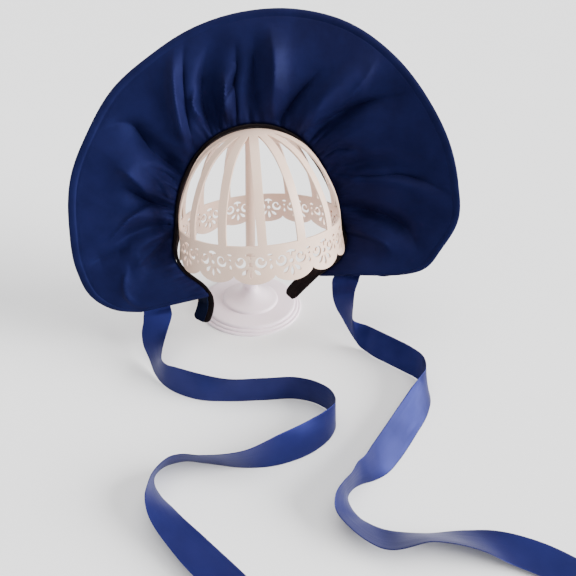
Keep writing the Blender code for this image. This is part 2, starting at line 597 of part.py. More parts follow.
def add_ribbon(name, sewn, run):
    """A satin ribbon, ruled between its two edges."""
    lower, upper = ribbon_edges(sewn, run)
    run = np.concatenate([[0], np.cumsum(np.linalg.norm(np.diff((lower + upper) / 2, axis=0), axis=1))])
    where = np.linspace(0, run[-1], RIBBON_PIECES + 1)
    low = np.column_stack([through(run, lower[:, i], where) for i in range(3)])
    high = np.column_stack([through(run, upper[:, i], where) for i in range(3)])
    middle, half = (low + high) / 2, (high - low) / 2
    free = np.clip(where / SEWN_STEPS[0] - 1, 0, 1)[:, None]      # the sewn end keeps its gathers
    half *= 1 + free * (RIBBON_WIDTH / 2 / np.linalg.norm(half, axis=1, keepdims=True) - 1)
    grid = np.stack([middle - half, middle + half], axis=1)
    grid[..., 2] = np.maximum(grid[..., 2], GAP)
    normal = np.cross(np.gradient(middle, axis=0), half)
    normal *= RIBBON_WALL / 2 / np.linalg.norm(normal, axis=1, keepdims=True)
    front = (grid + normal[:, None]).reshape(-1, 3)
    back = (grid - normal[:, None]).reshape(-1, 3)
    points, faces = shell(front, back, grid_faces(len(where), 2))
    points[:, 2] = np.maximum(points[:, 2], 0)
    return add_piece(name, points, faces, "royal_ribbon")


def main():
    """Build every piece."""
    clear_scene()
    add_turned("stand_foot", FOOT_PROFILE, FOOT_SIDES, "foot_paint")
    add_turned("stand_post", POST_PROFILE, POST_SIDES, "cream_paint", top=POST_TOP)
    add_dome(add_frame("dome_frame", DOME_CENTRE, (*DOME_LEAN, 0.0)))
    bonnet = add_frame("bonnet_frame", BONNET_CENTRE, BONNET_TURN)
    half = BAND_THICKNESS / 2
    add_strap("head_band", -BAND_WIDTH / 2, BAND_WIDTH / 2, -half, half, "black_velvet", bonnet)
    facing = half + FACING_GAP
    add_strap("band_facing", FACING_BACK, FACING_FRONT, facing, facing + FACING_THICKNESS,
              "navy_satin", bonnet)
    add_brim(bonnet)
    add_ribbon("ribbon_left", LEFT_SEWN, LEFT_RUN)
    add_ribbon("ribbon_right", RIGHT_SEWN, RIGHT_RUN)


main()
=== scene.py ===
"""Visual model of a ruffled half bonnet with ribbon ties on an openwork dome stand.

Each sub-assembly is a class that holds its sizes in millimetres and builds its surfaces as
numpy grids over two parameters. Finishes are small frozen dataclasses that make node materials.
The tables of places are the ones that the part is built from, so every surface lies in the
space that its solid holds.
"""

import logging
import math
from dataclasses import dataclass
from enum import Enum
from typing import NamedTuple, Sequence

import bpy
import numpy as np
from mathutils import Matrix, Vector, geometry

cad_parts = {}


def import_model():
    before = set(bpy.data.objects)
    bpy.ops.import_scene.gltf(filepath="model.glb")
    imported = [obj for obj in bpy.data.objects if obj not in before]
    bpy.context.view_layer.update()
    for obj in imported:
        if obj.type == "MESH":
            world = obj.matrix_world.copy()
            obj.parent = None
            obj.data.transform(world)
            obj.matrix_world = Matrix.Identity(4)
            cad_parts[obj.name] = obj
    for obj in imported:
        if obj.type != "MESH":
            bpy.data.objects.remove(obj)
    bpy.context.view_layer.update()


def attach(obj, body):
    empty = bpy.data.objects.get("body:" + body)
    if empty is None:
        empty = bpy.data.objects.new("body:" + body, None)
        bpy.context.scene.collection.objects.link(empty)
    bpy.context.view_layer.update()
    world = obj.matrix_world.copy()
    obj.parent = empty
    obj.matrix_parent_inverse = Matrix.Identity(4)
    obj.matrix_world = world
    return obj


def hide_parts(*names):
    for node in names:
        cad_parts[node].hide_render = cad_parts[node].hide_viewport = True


MM = 0.001
TURNED_MAP_RADIUS = 40.0  # a turned piece's flat map is laid out at this radius, in millimetres
BODY = "root"
Colour = tuple[float, float, float]
log = logging.getLogger("bonnet")


class Weave(Enum):
    """How a cloth's surface is made."""

    SATIN = "satin"
    VELVET = "velvet"


# Tables of places, in millimetres and degrees


class Swell(NamedTuple):
    """How far the dome stands outside a ball at a height up its wall, given as an angle."""

    latitude: float
    offset: float


class Turn(NamedTuple):
    """One corner of a turned profile."""

    radius: float
    height: float


class Curl(NamedTuple):
    """Width of a scroll's slot, as a share of its full width, at a part of its run."""

    part: float
    width: float


class Band(NamedTuple):
    """A place on the band's middle line: direction, radius, step forward and twist."""

    angle: float
    radius: float
    forward: float
    twist: float


class Outline(NamedTuple):
    """A place on the brim's edge, with the direction where the cloth leaves the band."""

    band_angle: float
    angle: float
    reach: float
    forward: float


class Fold(NamedTuple):
    """A fold of the brim: directions at both ends, part of the brim, half width and height."""

    band_angle: float
    end_angle: float
    start: float
    end: float
    width: float
    height: float


class Crease(NamedTuple):
    """A sharp line in the brim.

    Its run lists directions with their part of the way out from the band; then come the widths
    of its two flanks, towards smaller and larger directions, and its height.
    """

    run: tuple[tuple[float, float], ...]
    before: float
    after: float
    height: float


class Sewn(NamedTuple):
    """Where a ribbon leaves the brim: its edges, sideways slant, and the part of the brim."""

    low: tuple[float, float]
    high: tuple[float, float]
    slant: float
    first: float
    last: float


class Place(NamedTuple):
    """A place along a ribbon: its lower edge, and where its upper edge leans."""

    x: float
    y: float
    z: float
    toward: float
    lean: float


def named(kind: type, table: Sequence[tuple]) -> tuple:
    """A table's rows, with the columns named by their kind."""
    return tuple(kind(*row) for row in table)


DOME_SWELL = named(Swell, (
    (-24, 3.6), (-17, 2), (-9, 0.8), (0, 0), (7, -0.6),
    (16, -1.1), (28, -1.3), (40, -0.2), (52, 1.4),
    (69, 2.6), (90, 3.2),
))
SCROLL = named(Curl, ((0, 0.75), (0.12, 0.80), (0.28, 0.55), (0.62, 1.20), (0.85, 0.75), (1, 0.12)))
BAND_PATH = named(Band, (
    (-68.5, 75.6, 8, 30), (-65, 73.2, 7.6, 36), (-60, 70.9, 6.4, 39),
    (-52.5, 69.6, 4.8, 36), (-43, 70.6, 2.6, 24), (-35, 74.6, 1, 12),
    (-27, 79.8, -4, 3), (-20, 82, -12, 0), (-14, 82.1, -18, 0),
    (-9, 79.1, -21, 0), (-4, 76.4, -22, 0), (2, 74.4, -22, 0),
    (15, 72.4, -21.5, 0), (30, 71.4, -19, 0), (45, 72.1, -13.5, 0),
    (60, 74.4, -6.5, 0), (75, 75.9, -1.5, 0), (90, 76.1, 1, 0),
    (105, 75.7, 1, 0), (120, 74.7, 1, 0), (135, 72.8, 0, 0),
    (150, 71, -2.5, 0), (165, 70.4, -5, 0), (178, 70.7, -6, 0),
    (188, 72.1, -6, 0), (196, 75, -4, 0), (204, 79.6, 0, -5),
    (212.5, 81.6, 2.2, -15), (222, 81.7, 4.6, -30), (227, 81.3, 5.8, -39),
    (231, 81.4, 6.2, -45), (235.1, 83.1, 6.2, -50), (238.4, 86.8, 6.4, -58),
    (240, 91.4, 6.8, -65), (241, 97, 7.2, -69), (241.7, 105.4, 6.8, -70),
))
BRIM_OUTLINE = named(Outline, (
    (237.3, 219.8, 128, 24), (228.5, 212.8, 144, 32),
    (221, 206.5, 151.3, 36), (211, 197.3, 152.6, 38),
    (197, 185.1, 150.6, 38), (180, 170, 150.6, 36),
    (162, 155, 148.7, 33), (145, 140, 150.4, 30),
    (127.5, 125, 150.8, 27), (111, 110, 155.3, 25),
    (95.5, 95, 160.4, 24), (80, 80, 166, 24),
    (65, 65, 170.1, 25), (50, 50, 169.8, 27),
    (34, 35, 168.6, 29), (17, 20, 168.7, 32),
    (5, 10, 167.9, 34), (-7, 0, 166.4, 36),
    (-18, -9.4, 155.2, 36), (-26, -16.1, 147.7, 34),
    (-35, -21.4, 130.5, 30), (-43, -26.1, 108.4, 24),
))
BRIM_FOLDS = named(Fold, (
    (206, 216, 0.25, 0.95, 11, 3.5), (200, 212, 0.00, 0.70, 10, -3.5),
    (192, 206, 0.00, 0.75, 10, 4.5), (187, 197, 0.00, 0.95, 10, -4),
    (180, 194, 0.08, 0.95, 10, 5), (176, 171, 0.00, 0.60, 9, -4.5),
    (172, 163, 0.05, 0.70, 10, 5.5), (160, 160, 0.20, 1.00, 22, 8),
    (150, 146, 0.00, 0.92, 11, -8), (138, 116, 0.03, 0.98, 8, 4.5),
    (118, 104, 0.00, 0.95, 13, -8), (107, 105, 0.04, 0.55, 8, 5),
    (95, 92, 0.00, 0.85, 10, -5), (83, 86, 0.05, 0.90, 11, 6),
    (78, 69, 0.00, 0.60, 8, -4.5), (66, 54, 0.00, 0.95, 11, 7),
    (60, 41, 0.03, 0.95, 12, -7), (48, 36, 0.00, 0.80, 13, 5),
    (34, 12, 0.00, 1.00, 12, -8), (24, 2, 0.03, 1.00, 15, 7),
    (8, -13, 0.00, 0.90, 12, -7), (-9, -17, 0.03, 0.75, 12, 5),
))
BRIM_CREASES = named(Crease, (
    (((150, 0), (151, 0.36), (148, 0.79), (157, 0.94)), 5, 12, -6.5),
    (((158, 0), (157, 0.24), (158, 0.36)), 2.5, 4, -4.2),
    (((173, 0), (163, 0.17), (160, 0.32)), 4, 3, 4.2),
    (((176, 0), (176, 0.20), (172, 0.43), (170, 0.56)), 4, 5, -5.3),
    (((174, 0.18), (165, 0.45), (163, 0.62)), 4, 4, 3.4),
    (((178, 0.08), (178, 0.23), (183, 0.36), (191, 0.56), (193, 0.80)), 3, 7, 5.3),
    (((188, 0), (188, 0.12), (190, 0.24)), 3, 3, -4.6),
    (((192, 0), (200, 0.15), (205, 0.37), (207, 0.52)), 4, 4, 4.6),
    (((197, 0.40), (197, 0.60), (198, 0.92)), 3, 7, -4.2),
    (((204, 0.46), (209, 0.58), (220, 0.84)), 3, 5, 3.8),
    (((138, 0.02), (129, 0.37), (117, 0.94)), 2.5, 6, 4.6),
    (((134, 0.04), (125.5, 0.37), (113.5, 0.94)), 2.2, 2.2, -3.4),
    (((120, 0.14), (122, 0.32), (116, 0.52)), 3, 3, 3.8),
    (((121, 0), (119, 0.21), (116, 0.44), (107, 0.82)), 7, 2, -6.5),
    (((110, 0.18), (101, 0.40), (98, 0.78)), 2.2, 6, -4.9),
    (((108, 0.04), (108, 0.17), (105, 0.38), (104, 0.52)), 3.5, 3.5, 4.9),
    (((103, 0), (101, 0.38), (100, 0.54)), 2.2, 2.2, -3.4),
    (((92, 0.10), (92, 0.40), (92, 0.78)), 4, 3, -4.6),
    (((84, 0.10), (84, 0.28), (86, 0.68), (87, 0.88)), 7, 5, 3.8),
    (((80, 0), (71, 0.40), (67, 0.60)), 3, 3, -4.2),
    (((66, 0.02), (55, 0.38), (53, 0.60), (54, 0.94)), 3, 7, 4.2),
    (((64.5, 0), (56, 0.30), (50, 0.52), (39, 0.95)), 6, 2.5, -5.3),
    (((45, 0), (40, 0.22), (32, 0.36)), 3, 3, -4.6),
    (((34, 0), (25, 0.16), (19, 0.36), (17, 0.53), (5, 1)), 7, 3, -6.1),
    (((8, 0), (3, 0.27), (-3, 0.52), (-14, 0.82)), 7, 3, -5.7),
    (((-6, 0), (-9, 0.10), (-15, 0.44), (-17, 0.56)), 3, 4, 3.8),
))
LEFT_SEWN = Sewn((-97, -81), (-75.2, -75.2), 0, 0, 0.16)
RIGHT_SEWN = Sewn((69.8, -49.4), (89.4, -48.6), 0.55, 0.86, 1)
LEFT_RUN = named(Place, (
    (-84.8, -75, 32, 12, 78), (-86, -79.5, 23, -4, 73),
    (-84, -86, 14, -19, 62), (-78, -94, 6.5, -31, 45),
    (-70, -107, 1.5, -35, 28), (-63, -115.5, 0.5, -23, 20),
    (-55, -122, 0.3, 6, 17), (-34, -131, 0.3, 70, 11),
    (-5, -132, 0.3, -88, 1), (22, -129, 0.3, -84, 1),
    (50, -126, 0.3, -91, 2), (64, -129.5, 0.3, -116, 3),
    (75, -138, 0.3, -144, 3), (79, -150, 0.3, 179, 6),
    (74.5, -163, 0.3, 149, 18), (65, -173.5, 0.3, 126, 24),
    (41, -187.5, 0.3, 110, 18), (14, -192.5, 0.3, -87, 10),
    (-14, -190.5, 0.3, -93, 25), (-30, -190, 0.3, -82, 26),
    (-41, -194.5, 0.3, -62, 26), (-46.5, -204, 0.3, -72, 29),
    (-44, -211, 0.3, -89, 31), (-39.5, -216.5, 0.3, -109, 32),
    (-28, -226, 0.3, -134, 46), (-6, -243, 0.3, -128, 63),
    (16, -260, 0.3, -128, 67), (31, -272, 0.3, -129, 70),
))
RIGHT_RUN = named(Place, (
    (76.4, -36.5, 51.6, -24, 67), (77.6, -42, 43.6, -29, 54),
    (81.3, -45, 34.3, -39, 43), (87, -49, 26.3, -56, 31),
    (93.1, -53, 17.5, -82, 19), (99.8, -56, 8, -138, 12),
    (105.5, -59.5, 2, 131, 14), (110, -62.5, 0.3, 100, 18),
    (117, -70, 0.3, 72, 19), (128, -78, 0.3, 52, 17),
    (141, -87.5, 0.3, 53, 14), (151, -95.5, 0.3, 41, 4),
    (158, -107, 0.3, -164, 16), (158, -120, 0.3, 170, 34),
    (153.5, -133, 0.3, 153, 45), (139, -157, 0.3, 147, 49),
    (123, -180, 0.3, 143, 45), (114, -190.5, 0.3, 146, 38),
    (102, -198, 0.3, 165, 21), (94, -201, 0.3, 178, 12),
    (87, -206, 0.3, -131, 11), (84, -212, 0.3, -146, 16),
    (86, -219, 0.3, -165, 31), (90, -224.5, 0.3, -162, 46),
    (96, -228.6, 0.3, -135, 51), (103, -231.5, 0.3, -106, 56),
    (130, -233.5, 0.3, -88, 40), (158, -230, 0.3, -85, 57),
    (180, -229.5, 0.3, -97, 76), (205, -236, 0.3, -112, 83),
    (231, -250, 0.3, -118, 84),
))
FOOT_PROFILE = named(Turn, (
    (0, 0), (50.7, 0), (51, 0.4), (51, 1.5), (50.6, 2.1), (49.8, 2.4),
    (48.9, 2.3), (48.3, 2), (48.3, 3.4), (47.9, 4.1), (47.1, 4.5), (46.1, 4.4),
    (45.4, 4.1), (45.3, 5.5), (44.9, 6.3), (44, 6.9), (42.6, 7.1), (36, 7.6),
    (29.2, 8), (27.6, 7.9), (27.3, 8.6), (27.1, 9.6), (26.3, 10.3), (23, 11),
    (19, 12.2), (14.5, 14.5), (10.5, 17.3), (7.9, 20.2), (6.9, 22.4),
    (6.9, 24.4), (7.8, 26.6), (9.4, 28.5), (9.6, 30.4), (9.1, 31),
    (5, 31), (4.8, 30.6), (4.8, 21.6), (0, 21.5),
))
POST_PROFILE = named(Turn, (
    (0, 21.8), (4.3, 21.8), (4.5, 22.1), (4.5, 166), (4.4, 168),
    (4.1, 171), (3.4, 172.9), (2.4, 173.8), (1, 174.3), (0, 174.4),
))


# Curves and grids


def through(table_x: Sequence[float], table_y: Sequence[float], x: np.ndarray) -> np.ndarray:
    """Smooth curve through a table's rows.

    Between two rows the height is the cubic that meets both rows with their own slopes, and a
    row's slope is the mean of its two chords, each weighted by the other one's length.

    Args:
        table_x: rising places of the rows.
        table_y: the value at each row.
        x: where to read the curve.

    Returns:
        The curve's value at each x.
    """
    table_x, table_y, x = (np.asarray(item, float) for item in (table_x, table_y, x))
    step = np.diff(table_x)
    chord = np.diff(table_y) / step
    slope = np.empty(len(table_x))
    slope[1:-1] = (chord[:-1] * step[1:] + chord[1:] * step[:-1]) / (step[:-1] + step[1:])
    slope[0], slope[-1] = chord[0], chord[-1]
    i = np.clip(np.searchsorted(table_x, x, side="right") - 1, 0, len(step) - 1)
    t = (x - table_x[i]) / step[i]
    rise = table_y[i + 1] - table_y[i]
    return (table_y[i] + rise * (3 * t ** 2 - 2 * t ** 3)
            + step[i] * (slope[i] * (t ** 3 - 2 * t ** 2 + t) + slope[i + 1] * (t ** 3 - t ** 2)))


def column(table: Sequence[NamedTuple], name: str) -> np.ndarray:
    """One named column of a table."""
    return np.array([getattr(row, name) for row in table])


def arc_length(points: np.ndarray) -> np.ndarray:
    """Length along a line of points, from zero at the first one."""
    return np.concatenate([[0.0], np.cumsum(np.linalg.norm(np.diff(points, axis=0), axis=-1))])


def polar(angle: np.ndarray, radius: np.ndarray, forward: np.ndarray) -> np.ndarray:
    """Points of the bonnet's frame from a direction in degrees, a radius and a step forward."""
    angle = np.radians(angle)
    return np.stack([radius * np.cos(angle), radius * np.sin(angle), forward + 0 * angle], axis=-1)


def turn_matrix(turn: Sequence[float]) -> np.ndarray:
    """Rotation matrix of turns about X, then Y, then Z, in degrees."""
    x, y, z = (math.radians(angle) for angle in turn)
    return np.array(Matrix.Rotation(z, 3, "Z") @ Matrix.Rotation(y, 3, "Y") @ Matrix.Rotation(x, 3, "X"))


def unit(vectors: np.ndarray) -> np.ndarray:
    """Vectors scaled to length one."""
    return vectors / np.maximum(np.linalg.norm(vectors, axis=-1, keepdims=True), 1e-12)


def eased(count: int) -> np.ndarray:
    """Steps from 0 to 1 that lie closer at both ends: half of one minus the cosine."""
    return 0.5 - 0.5 * np.cos(np.linspace(0, np.pi, count))


def grid_normals(grid: np.ndarray) -> np.ndarray:
    """Unit normals of a grid of points: the cross product of its two directions."""
    return unit(np.cross(np.gradient(grid, axis=0), np.gradient(grid, axis=1)))


def grid_quads(columns: int, rows: int, wrap: bool = False) -> np.ndarray:
    """Quads of a grid stored column by column; wrap joins the last column to the first."""
    i = np.arange(columns if wrap else columns - 1)[:, None]
    j = np.arange(rows - 1)[None]
    low, high = i * rows + j, (i + 1) % columns * rows + j
    return np.stack([low, high, high + 1, low + 1], axis=-1).reshape(-1, 4)


def round_share(distance: np.ndarray, radius: float) -> np.ndarray:
    """Share of full thickness near an edge: a quarter circle of the given radius."""
    return np.sqrt(np.clip(1 - np.clip(1 - distance / radius, 0, 1) ** 2, 0.02, 1))


class Wave(NamedTuple):
    """A sine: its turns per unit of length or direction, its phase in turns, and its height."""

    turns: float
    phase: float
    height: float


def ripple(place: np.ndarray, waves: Sequence[Wave]) -> np.ndarray:
    """Sum of the waves at each place."""
    return sum(wave.height * np.sin(2 * math.pi * (place * wave.turns + wave.phase)) for wave in waves)


@dataclass
class Surface:
    """Points in millimetres with their faces and a flat map, ready to become a mesh."""

    points: np.ndarray
    faces: np.ndarray
    flat: np.ndarray

    @staticmethod
    def sheet(front: np.ndarray, back: np.ndarray, flat: np.ndarray) -> "Surface":
        """Close a sheet given by the grids of its two sides, with a wall round its edge."""
        columns, rows = front.shape[:2]
        count = columns * rows
        quads = grid_quads(columns, rows)
        i, j = np.arange(columns), np.arange(rows)
        loop = np.concatenate([i * rows, (columns - 1) * rows + j[1:],
                               i[-2::-1] * rows + rows - 1, j[-2:0:-1]])
        after = np.roll(loop, -1)
        wall = np.stack([after, loop, loop + count, after + count], axis=-1)
        faces = np.vstack([quads, quads[:, ::-1] + count, wall])
        points = np.vstack([front.reshape(-1, 3), back.reshape(-1, 3)])
        return Surface(points, faces, np.vstack([flat.reshape(-1, 2)] * 2))

    @staticmethod
    def turned(profile: Sequence[Turn], sides: int) -> "Surface":
        """Turn a closed profile about Z: x and y are the radius times the turn's cosine and sine."""
        radius, height = column(profile, "radius"), column(profile, "height")
        angle = np.linspace(0, 2 * math.pi, sides, endpoint=False)[:, None]
        grid = np.stack([radius * np.cos(angle), radius * np.sin(angle), height + 0 * angle], axis=-1)
        flat = np.stack([angle * TURNED_MAP_RADIUS + 0 * radius, height + 0 * angle], axis=-1)
        return Surface(grid.reshape(-1, 3), grid_quads(sides, len(profile), wrap=True),
                       flat.reshape(-1, 2))

    def placed(self, turn: np.ndarray, centre: Sequence[float]) -> "Surface":
        """The same surface turned by a matrix and moved to a centre."""
        return Surface(self.points @ turn.T + centre, self.faces, self.flat)

    def volume(self) -> float:
        """Signed volume: positive where the faces point outwards."""
        corners = self.points[self.faces]
        fans = [(0, k, k + 1) for k in range(1, self.faces.shape[1] - 1)]
        return float(sum(np.einsum("ij,ij->i", corners[:, a], np.cross(corners[:, b], corners[:, c])).sum()
                         for a, b, c in fans)) / 6

    def piece(self, name: str, material: bpy.types.Material, crease: float = 40.0) -> bpy.types.Object:
        """Make the mesh object, with faces outwards.

        Args:
            name: the piece's name.
            material: its finish.
            crease: edges sharper than this angle in degrees stay sharp.
        """
        faces = self.faces if self.volume() > 0 else self.faces[:, ::-1]
        mesh = bpy.data.meshes.new(name)
        mesh.from_pydata((self.points * MM).tolist(), [], faces.tolist())
        layer = mesh.uv_layers.new(name="flat")
        corner = np.empty(len(mesh.loops), dtype=np.int32)
        mesh.loops.foreach_get("vertex_index", corner)
        layer.data.foreach_set("uv", (self.flat[corner] * MM).astype(np.float32).ravel())
        mesh.validate()
        mesh.shade_smooth()
        mesh.set_sharp_from_angle(angle=math.radians(crease))
        mesh.materials.append(material)
        item = bpy.data.objects.new(name, mesh)
        bpy.context.scene.collection.objects.link(item)
        log.info("%s: %d points, %d faces", name, len(mesh.vertices), len(mesh.polygons))
        return item


# Finishes


class NodeTree:
    """A material's node tree, with short calls to add and join nodes."""

    def __init__(self, name: str) -> None:
        """Start a material that has a Principled shader."""
        self.material = bpy.data.materials.new(name)
        self.material.use_nodes = True
        self.tree = self.material.node_tree
        self.shader = self.tree.nodes["Principled BSDF"]

    def add(self, kind: str, settings: dict | None = None, **sockets: object) -> bpy.types.Node:
        """Add a node; settings are its properties, sockets its inputs by name with _ for a space."""
        node = self.tree.nodes.new("ShaderNode" + kind)
        for key, value in (settings or {}).items():
            setattr(node, key, value)
        for key, value in sockets.items():
            self.give(node.inputs[key.replace("_", " ")], value)
        return node

    def give(self, socket: bpy.types.NodeSocket, value: object) -> None:
        """Join a socket to another one, or set its constant."""
        if isinstance(value, bpy.types.NodeSocket):
            self.tree.links.new(value, socket)
        elif isinstance(value, tuple) and len(value) == 3 and socket.type == "RGBA":
            socket.default_value = (*value, 1.0)
        else:
            socket.default_value = value

    def shade(self, **sockets: object) -> None:
        """Set the Principled shader's sockets by name, with _ for a space."""
        for key, value in sockets.items():
            self.give(self.shader.inputs[key.replace("_", " ")], value)

    def coordinates(self, flat: bool = False, squeeze: float = 1.0) -> bpy.types.NodeSocket:
        """Coordinates on the piece or on its flat map, in metres; squeeze below 1 draws noise out along X."""
        source = self.add("TexCoord")
        mapping = self.add("Mapping", Vector=source.outputs["UV" if flat else "Object"],
                           Scale=(squeeze, 1.0, 1.0))
        return mapping.outputs["Vector"]

    def noise(self, place: bpy.types.NodeSocket, size: float, detail: float = 3.0) -> bpy.types.NodeSocket:
        """Noise with lumps of about the given size in millimetres."""
        return self.add("TexNoise", Vector=place, Scale=1000.0 / size, Detail=detail,
                        Roughness=0.55).outputs["Fac"]

    def spread(self, value: bpy.types.NodeSocket, low: float, high: float) -> bpy.types.NodeSocket:
        """Carry the middle of a noise onto a range."""
        return self.add("MapRange", Value=value, From_Min=0.3, From_Max=0.7, To_Min=low,
                        To_Max=high).outputs["Result"]

    def around(self, value: bpy.types.NodeSocket, middle: float, swing: float) -> bpy.types.NodeSocket:
        """Carry the middle of a noise onto a value, with a swing to both sides."""
        return self.spread(value, middle - swing, middle + swing)

    def blend(self, amount: bpy.types.NodeSocket, first: Colour, second: Colour) -> bpy.types.NodeSocket:
        """Mix two colours."""
        node = self.add("Mix", {"data_type": "RGBA"})
        self.give(node.inputs[0], amount)
        self.give(node.inputs[6], first)
        self.give(node.inputs[7], second)
        return node.outputs[2]

    def relief(self, height: bpy.types.NodeSocket, depth: float, under: bpy.types.NodeSocket | None = None
               ) -> bpy.types.NodeSocket:
        """Bump of a depth in millimetres, laid over another one."""
        node = self.add("Bump", Height=height, Strength=1.0, Distance=depth * MM)
        if under is not None:
            self.give(node.inputs["Normal"], under)
        return node.outputs["Normal"]


@dataclass(frozen=True)
class Cloth:
    """A cloth finish: satin with a fine lengthwise weave, or velvet with a short pile."""

    name: str
    weave: Weave
    shade: Colour
    light: Colour
    roughness: float
    sheen: float
    tint: Colour
    specular: float = 0.5
    metallic: float = 0.0
    wrinkle: float = 0.12
    lustre: float = 0.4
    patch_size: float = 22.0
    pile_size: float = 0.7
    pile_depth: float = 0.35
    thread_size: float = 0.35
    thread_depth: float = 0.03
    slub_size: float = 2.4
    crumple_size: float = 9.0

    def material(self) -> bpy.types.Material:
        """Make the node material; sizes and depths of its noises are in millimetres."""
        net = NodeTree(self.name)
        place = net.coordinates()
        patches = net.noise(place, self.patch_size)
        net.shade(Base_Color=net.blend(net.spread(patches, 0.0, 1.0), self.shade, self.light))
        net.shade(Sheen_Weight=self.sheen, Sheen_Roughness=0.45, Sheen_Tint=self.tint,
                  Specular_IOR_Level=self.specular, Specular_Tint=self.tint, Metallic=self.metallic)
        if self.weave is Weave.VELVET:
            pile = net.noise(place, self.pile_size, 4.0)
            net.shade(Roughness=net.around(net.noise(place, 3.0), self.roughness, 0.06),
                      Normal=net.relief(pile, self.pile_depth))
            return net.material
        threads = net.noise(net.coordinates(flat=True, squeeze=0.06), self.thread_size, 2.0)
        crumple = net.noise(net.coordinates(flat=True), self.crumple_size, 4.0)
        slub = net.noise(net.coordinates(flat=True, squeeze=0.10), self.slub_size)
        net.shade(Roughness=net.around(slub, self.roughness, 0.05), Anisotropic=self.lustre,
                  Normal=net.relief(threads, self.thread_depth, net.relief(crumple, self.wrinkle)))
        return net.material


@dataclass(frozen=True)
class Paint:
    """Sprayed paint on metal: a slightly uneven colour, a fine orange peel and a soft gloss."""

    name: str
    colour: Colour
    worn: Colour
    roughness: float
    peel_depth: float = 0.02
    peel_size: float = 1.3
    cloud_size: float = 26.0
    smear_size: float = 6.0

    def material(self) -> bpy.types.Material:
        """Make the node material; sizes and depths of its noises are in millimetres."""
        net = NodeTree(self.name)
        place = net.coordinates()
        clouds = net.spread(net.noise(place, self.cloud_size, 4.0), 0.0, 1.0)
        net.shade(Base_Color=net.blend(clouds, self.colour, self.worn),
                  Roughness=net.around(net.noise(place, self.smear_size), self.roughness, 0.07),
                  Specular_IOR_Level=0.5, Coat_Weight=0.15, Coat_Roughness=0.25,
                  Normal=net.relief(net.noise(place, self.peel_size), self.peel_depth))
        return net.material


NAVY_SATIN = Cloth(
    "navy satin", Weave.SATIN, (0.0050, 0.0056, 0.0270), (0.0070, 0.0080, 0.0390),
    roughness=0.52, sheen=0.01, tint=(0.12, 0.18, 0.70), specular=0.12, metallic=0.08, wrinkle=0.22)
DARK_SATIN = Cloth(
    "facing satin", Weave.SATIN, (0.0024, 0.0028, 0.0095), (0.0032, 0.0038, 0.0130),
    roughness=0.42, sheen=0.02, tint=(0.10, 0.20, 0.60), specular=0.18, wrinkle=0.15)
ROYAL_SATIN = Cloth(
    "royal satin ribbon", Weave.SATIN, (0.0115, 0.0125, 0.0700), (0.0150, 0.0165, 0.0900),
    roughness=0.40, sheen=0.0, tint=(0.06, 0.12, 0.66), specular=0.32, metallic=0.28, wrinkle=0.06)
BLACK_VELVET = Cloth(
    "black velvet", Weave.VELVET, (0.0050, 0.0036, 0.0038), (0.0076, 0.0056, 0.0060),
    roughness=0.92, sheen=0.12, tint=(0.48, 0.38, 0.42), specular=0.10)
CREAM_PAINT = Paint("cream paint", (0.80, 0.575, 0.455), (0.76, 0.535, 0.415), roughness=0.38)
LAVENDER_PAINT = Paint("lavender white paint", (0.95, 0.82, 0.89), (0.92, 0.78, 0.86), roughness=0.36)


# Sub-assemblies


@dataclass
class Viewpoint:
    """The camera, fitted to the foot's rings, the collar, the bars and the band."""

    place: tuple[float, float, float] = (37.2, -409.3, 300.0)
    pitch: float = 34.14
    roll: float = 2.916
    lens: float = 31.25

    def add(self) -> None:
        """Create the camera; it looks along +Y, down by the pitch and rolled about its own axis."""
        pitch, roll = math.radians(self.pitch), math.radians(self.roll)
        forward = Vector((0, math.cos(pitch), -math.sin(pitch)))
        level, up = Vector((1, 0, 0)), Vector((0, math.sin(pitch), math.cos(pitch)))
        right = math.cos(roll) * level + math.sin(roll) * up
        above = math.cos(roll) * up - math.sin(roll) * level
        camera = bpy.data.objects.new("camera", bpy.data.cameras.new("camera"))
        camera.data.lens = self.lens
        camera.data.sensor_width = 36.0
        camera.data.clip_end = 50.0
        turn = Matrix((right, above, -forward)).transposed().to_4x4()
        camera.matrix_world = Matrix.Translation(Vector(self.place) * MM) @ turn
        bpy.context.scene.collection.objects.link(camera)
        bpy.context.scene.camera = camera


@dataclass(frozen=True)
class Window:
    """Far, even light from one side, with soft shadows."""

    name: str
    place: tuple[float, float, float]
    spread: float
    power: float
    colour: Colour = (1.0, 1.0, 1.0)

    def add(self) -> None:
        """Create the light; it shines from its place towards the origin, spread in degrees."""
        data = bpy.data.lights.new(self.name, "SUN")
        data.energy, data.color = self.power, self.colour
        data.angle = math.radians(self.spread)
        lamp = bpy.data.objects.new(self.name, data)
        lamp.location = self.place
        lamp.rotation_euler = (-Vector(self.place)).to_track_quat("-Z", "Y").to_euler()
        bpy.context.scene.collection.objects.link(lamp)


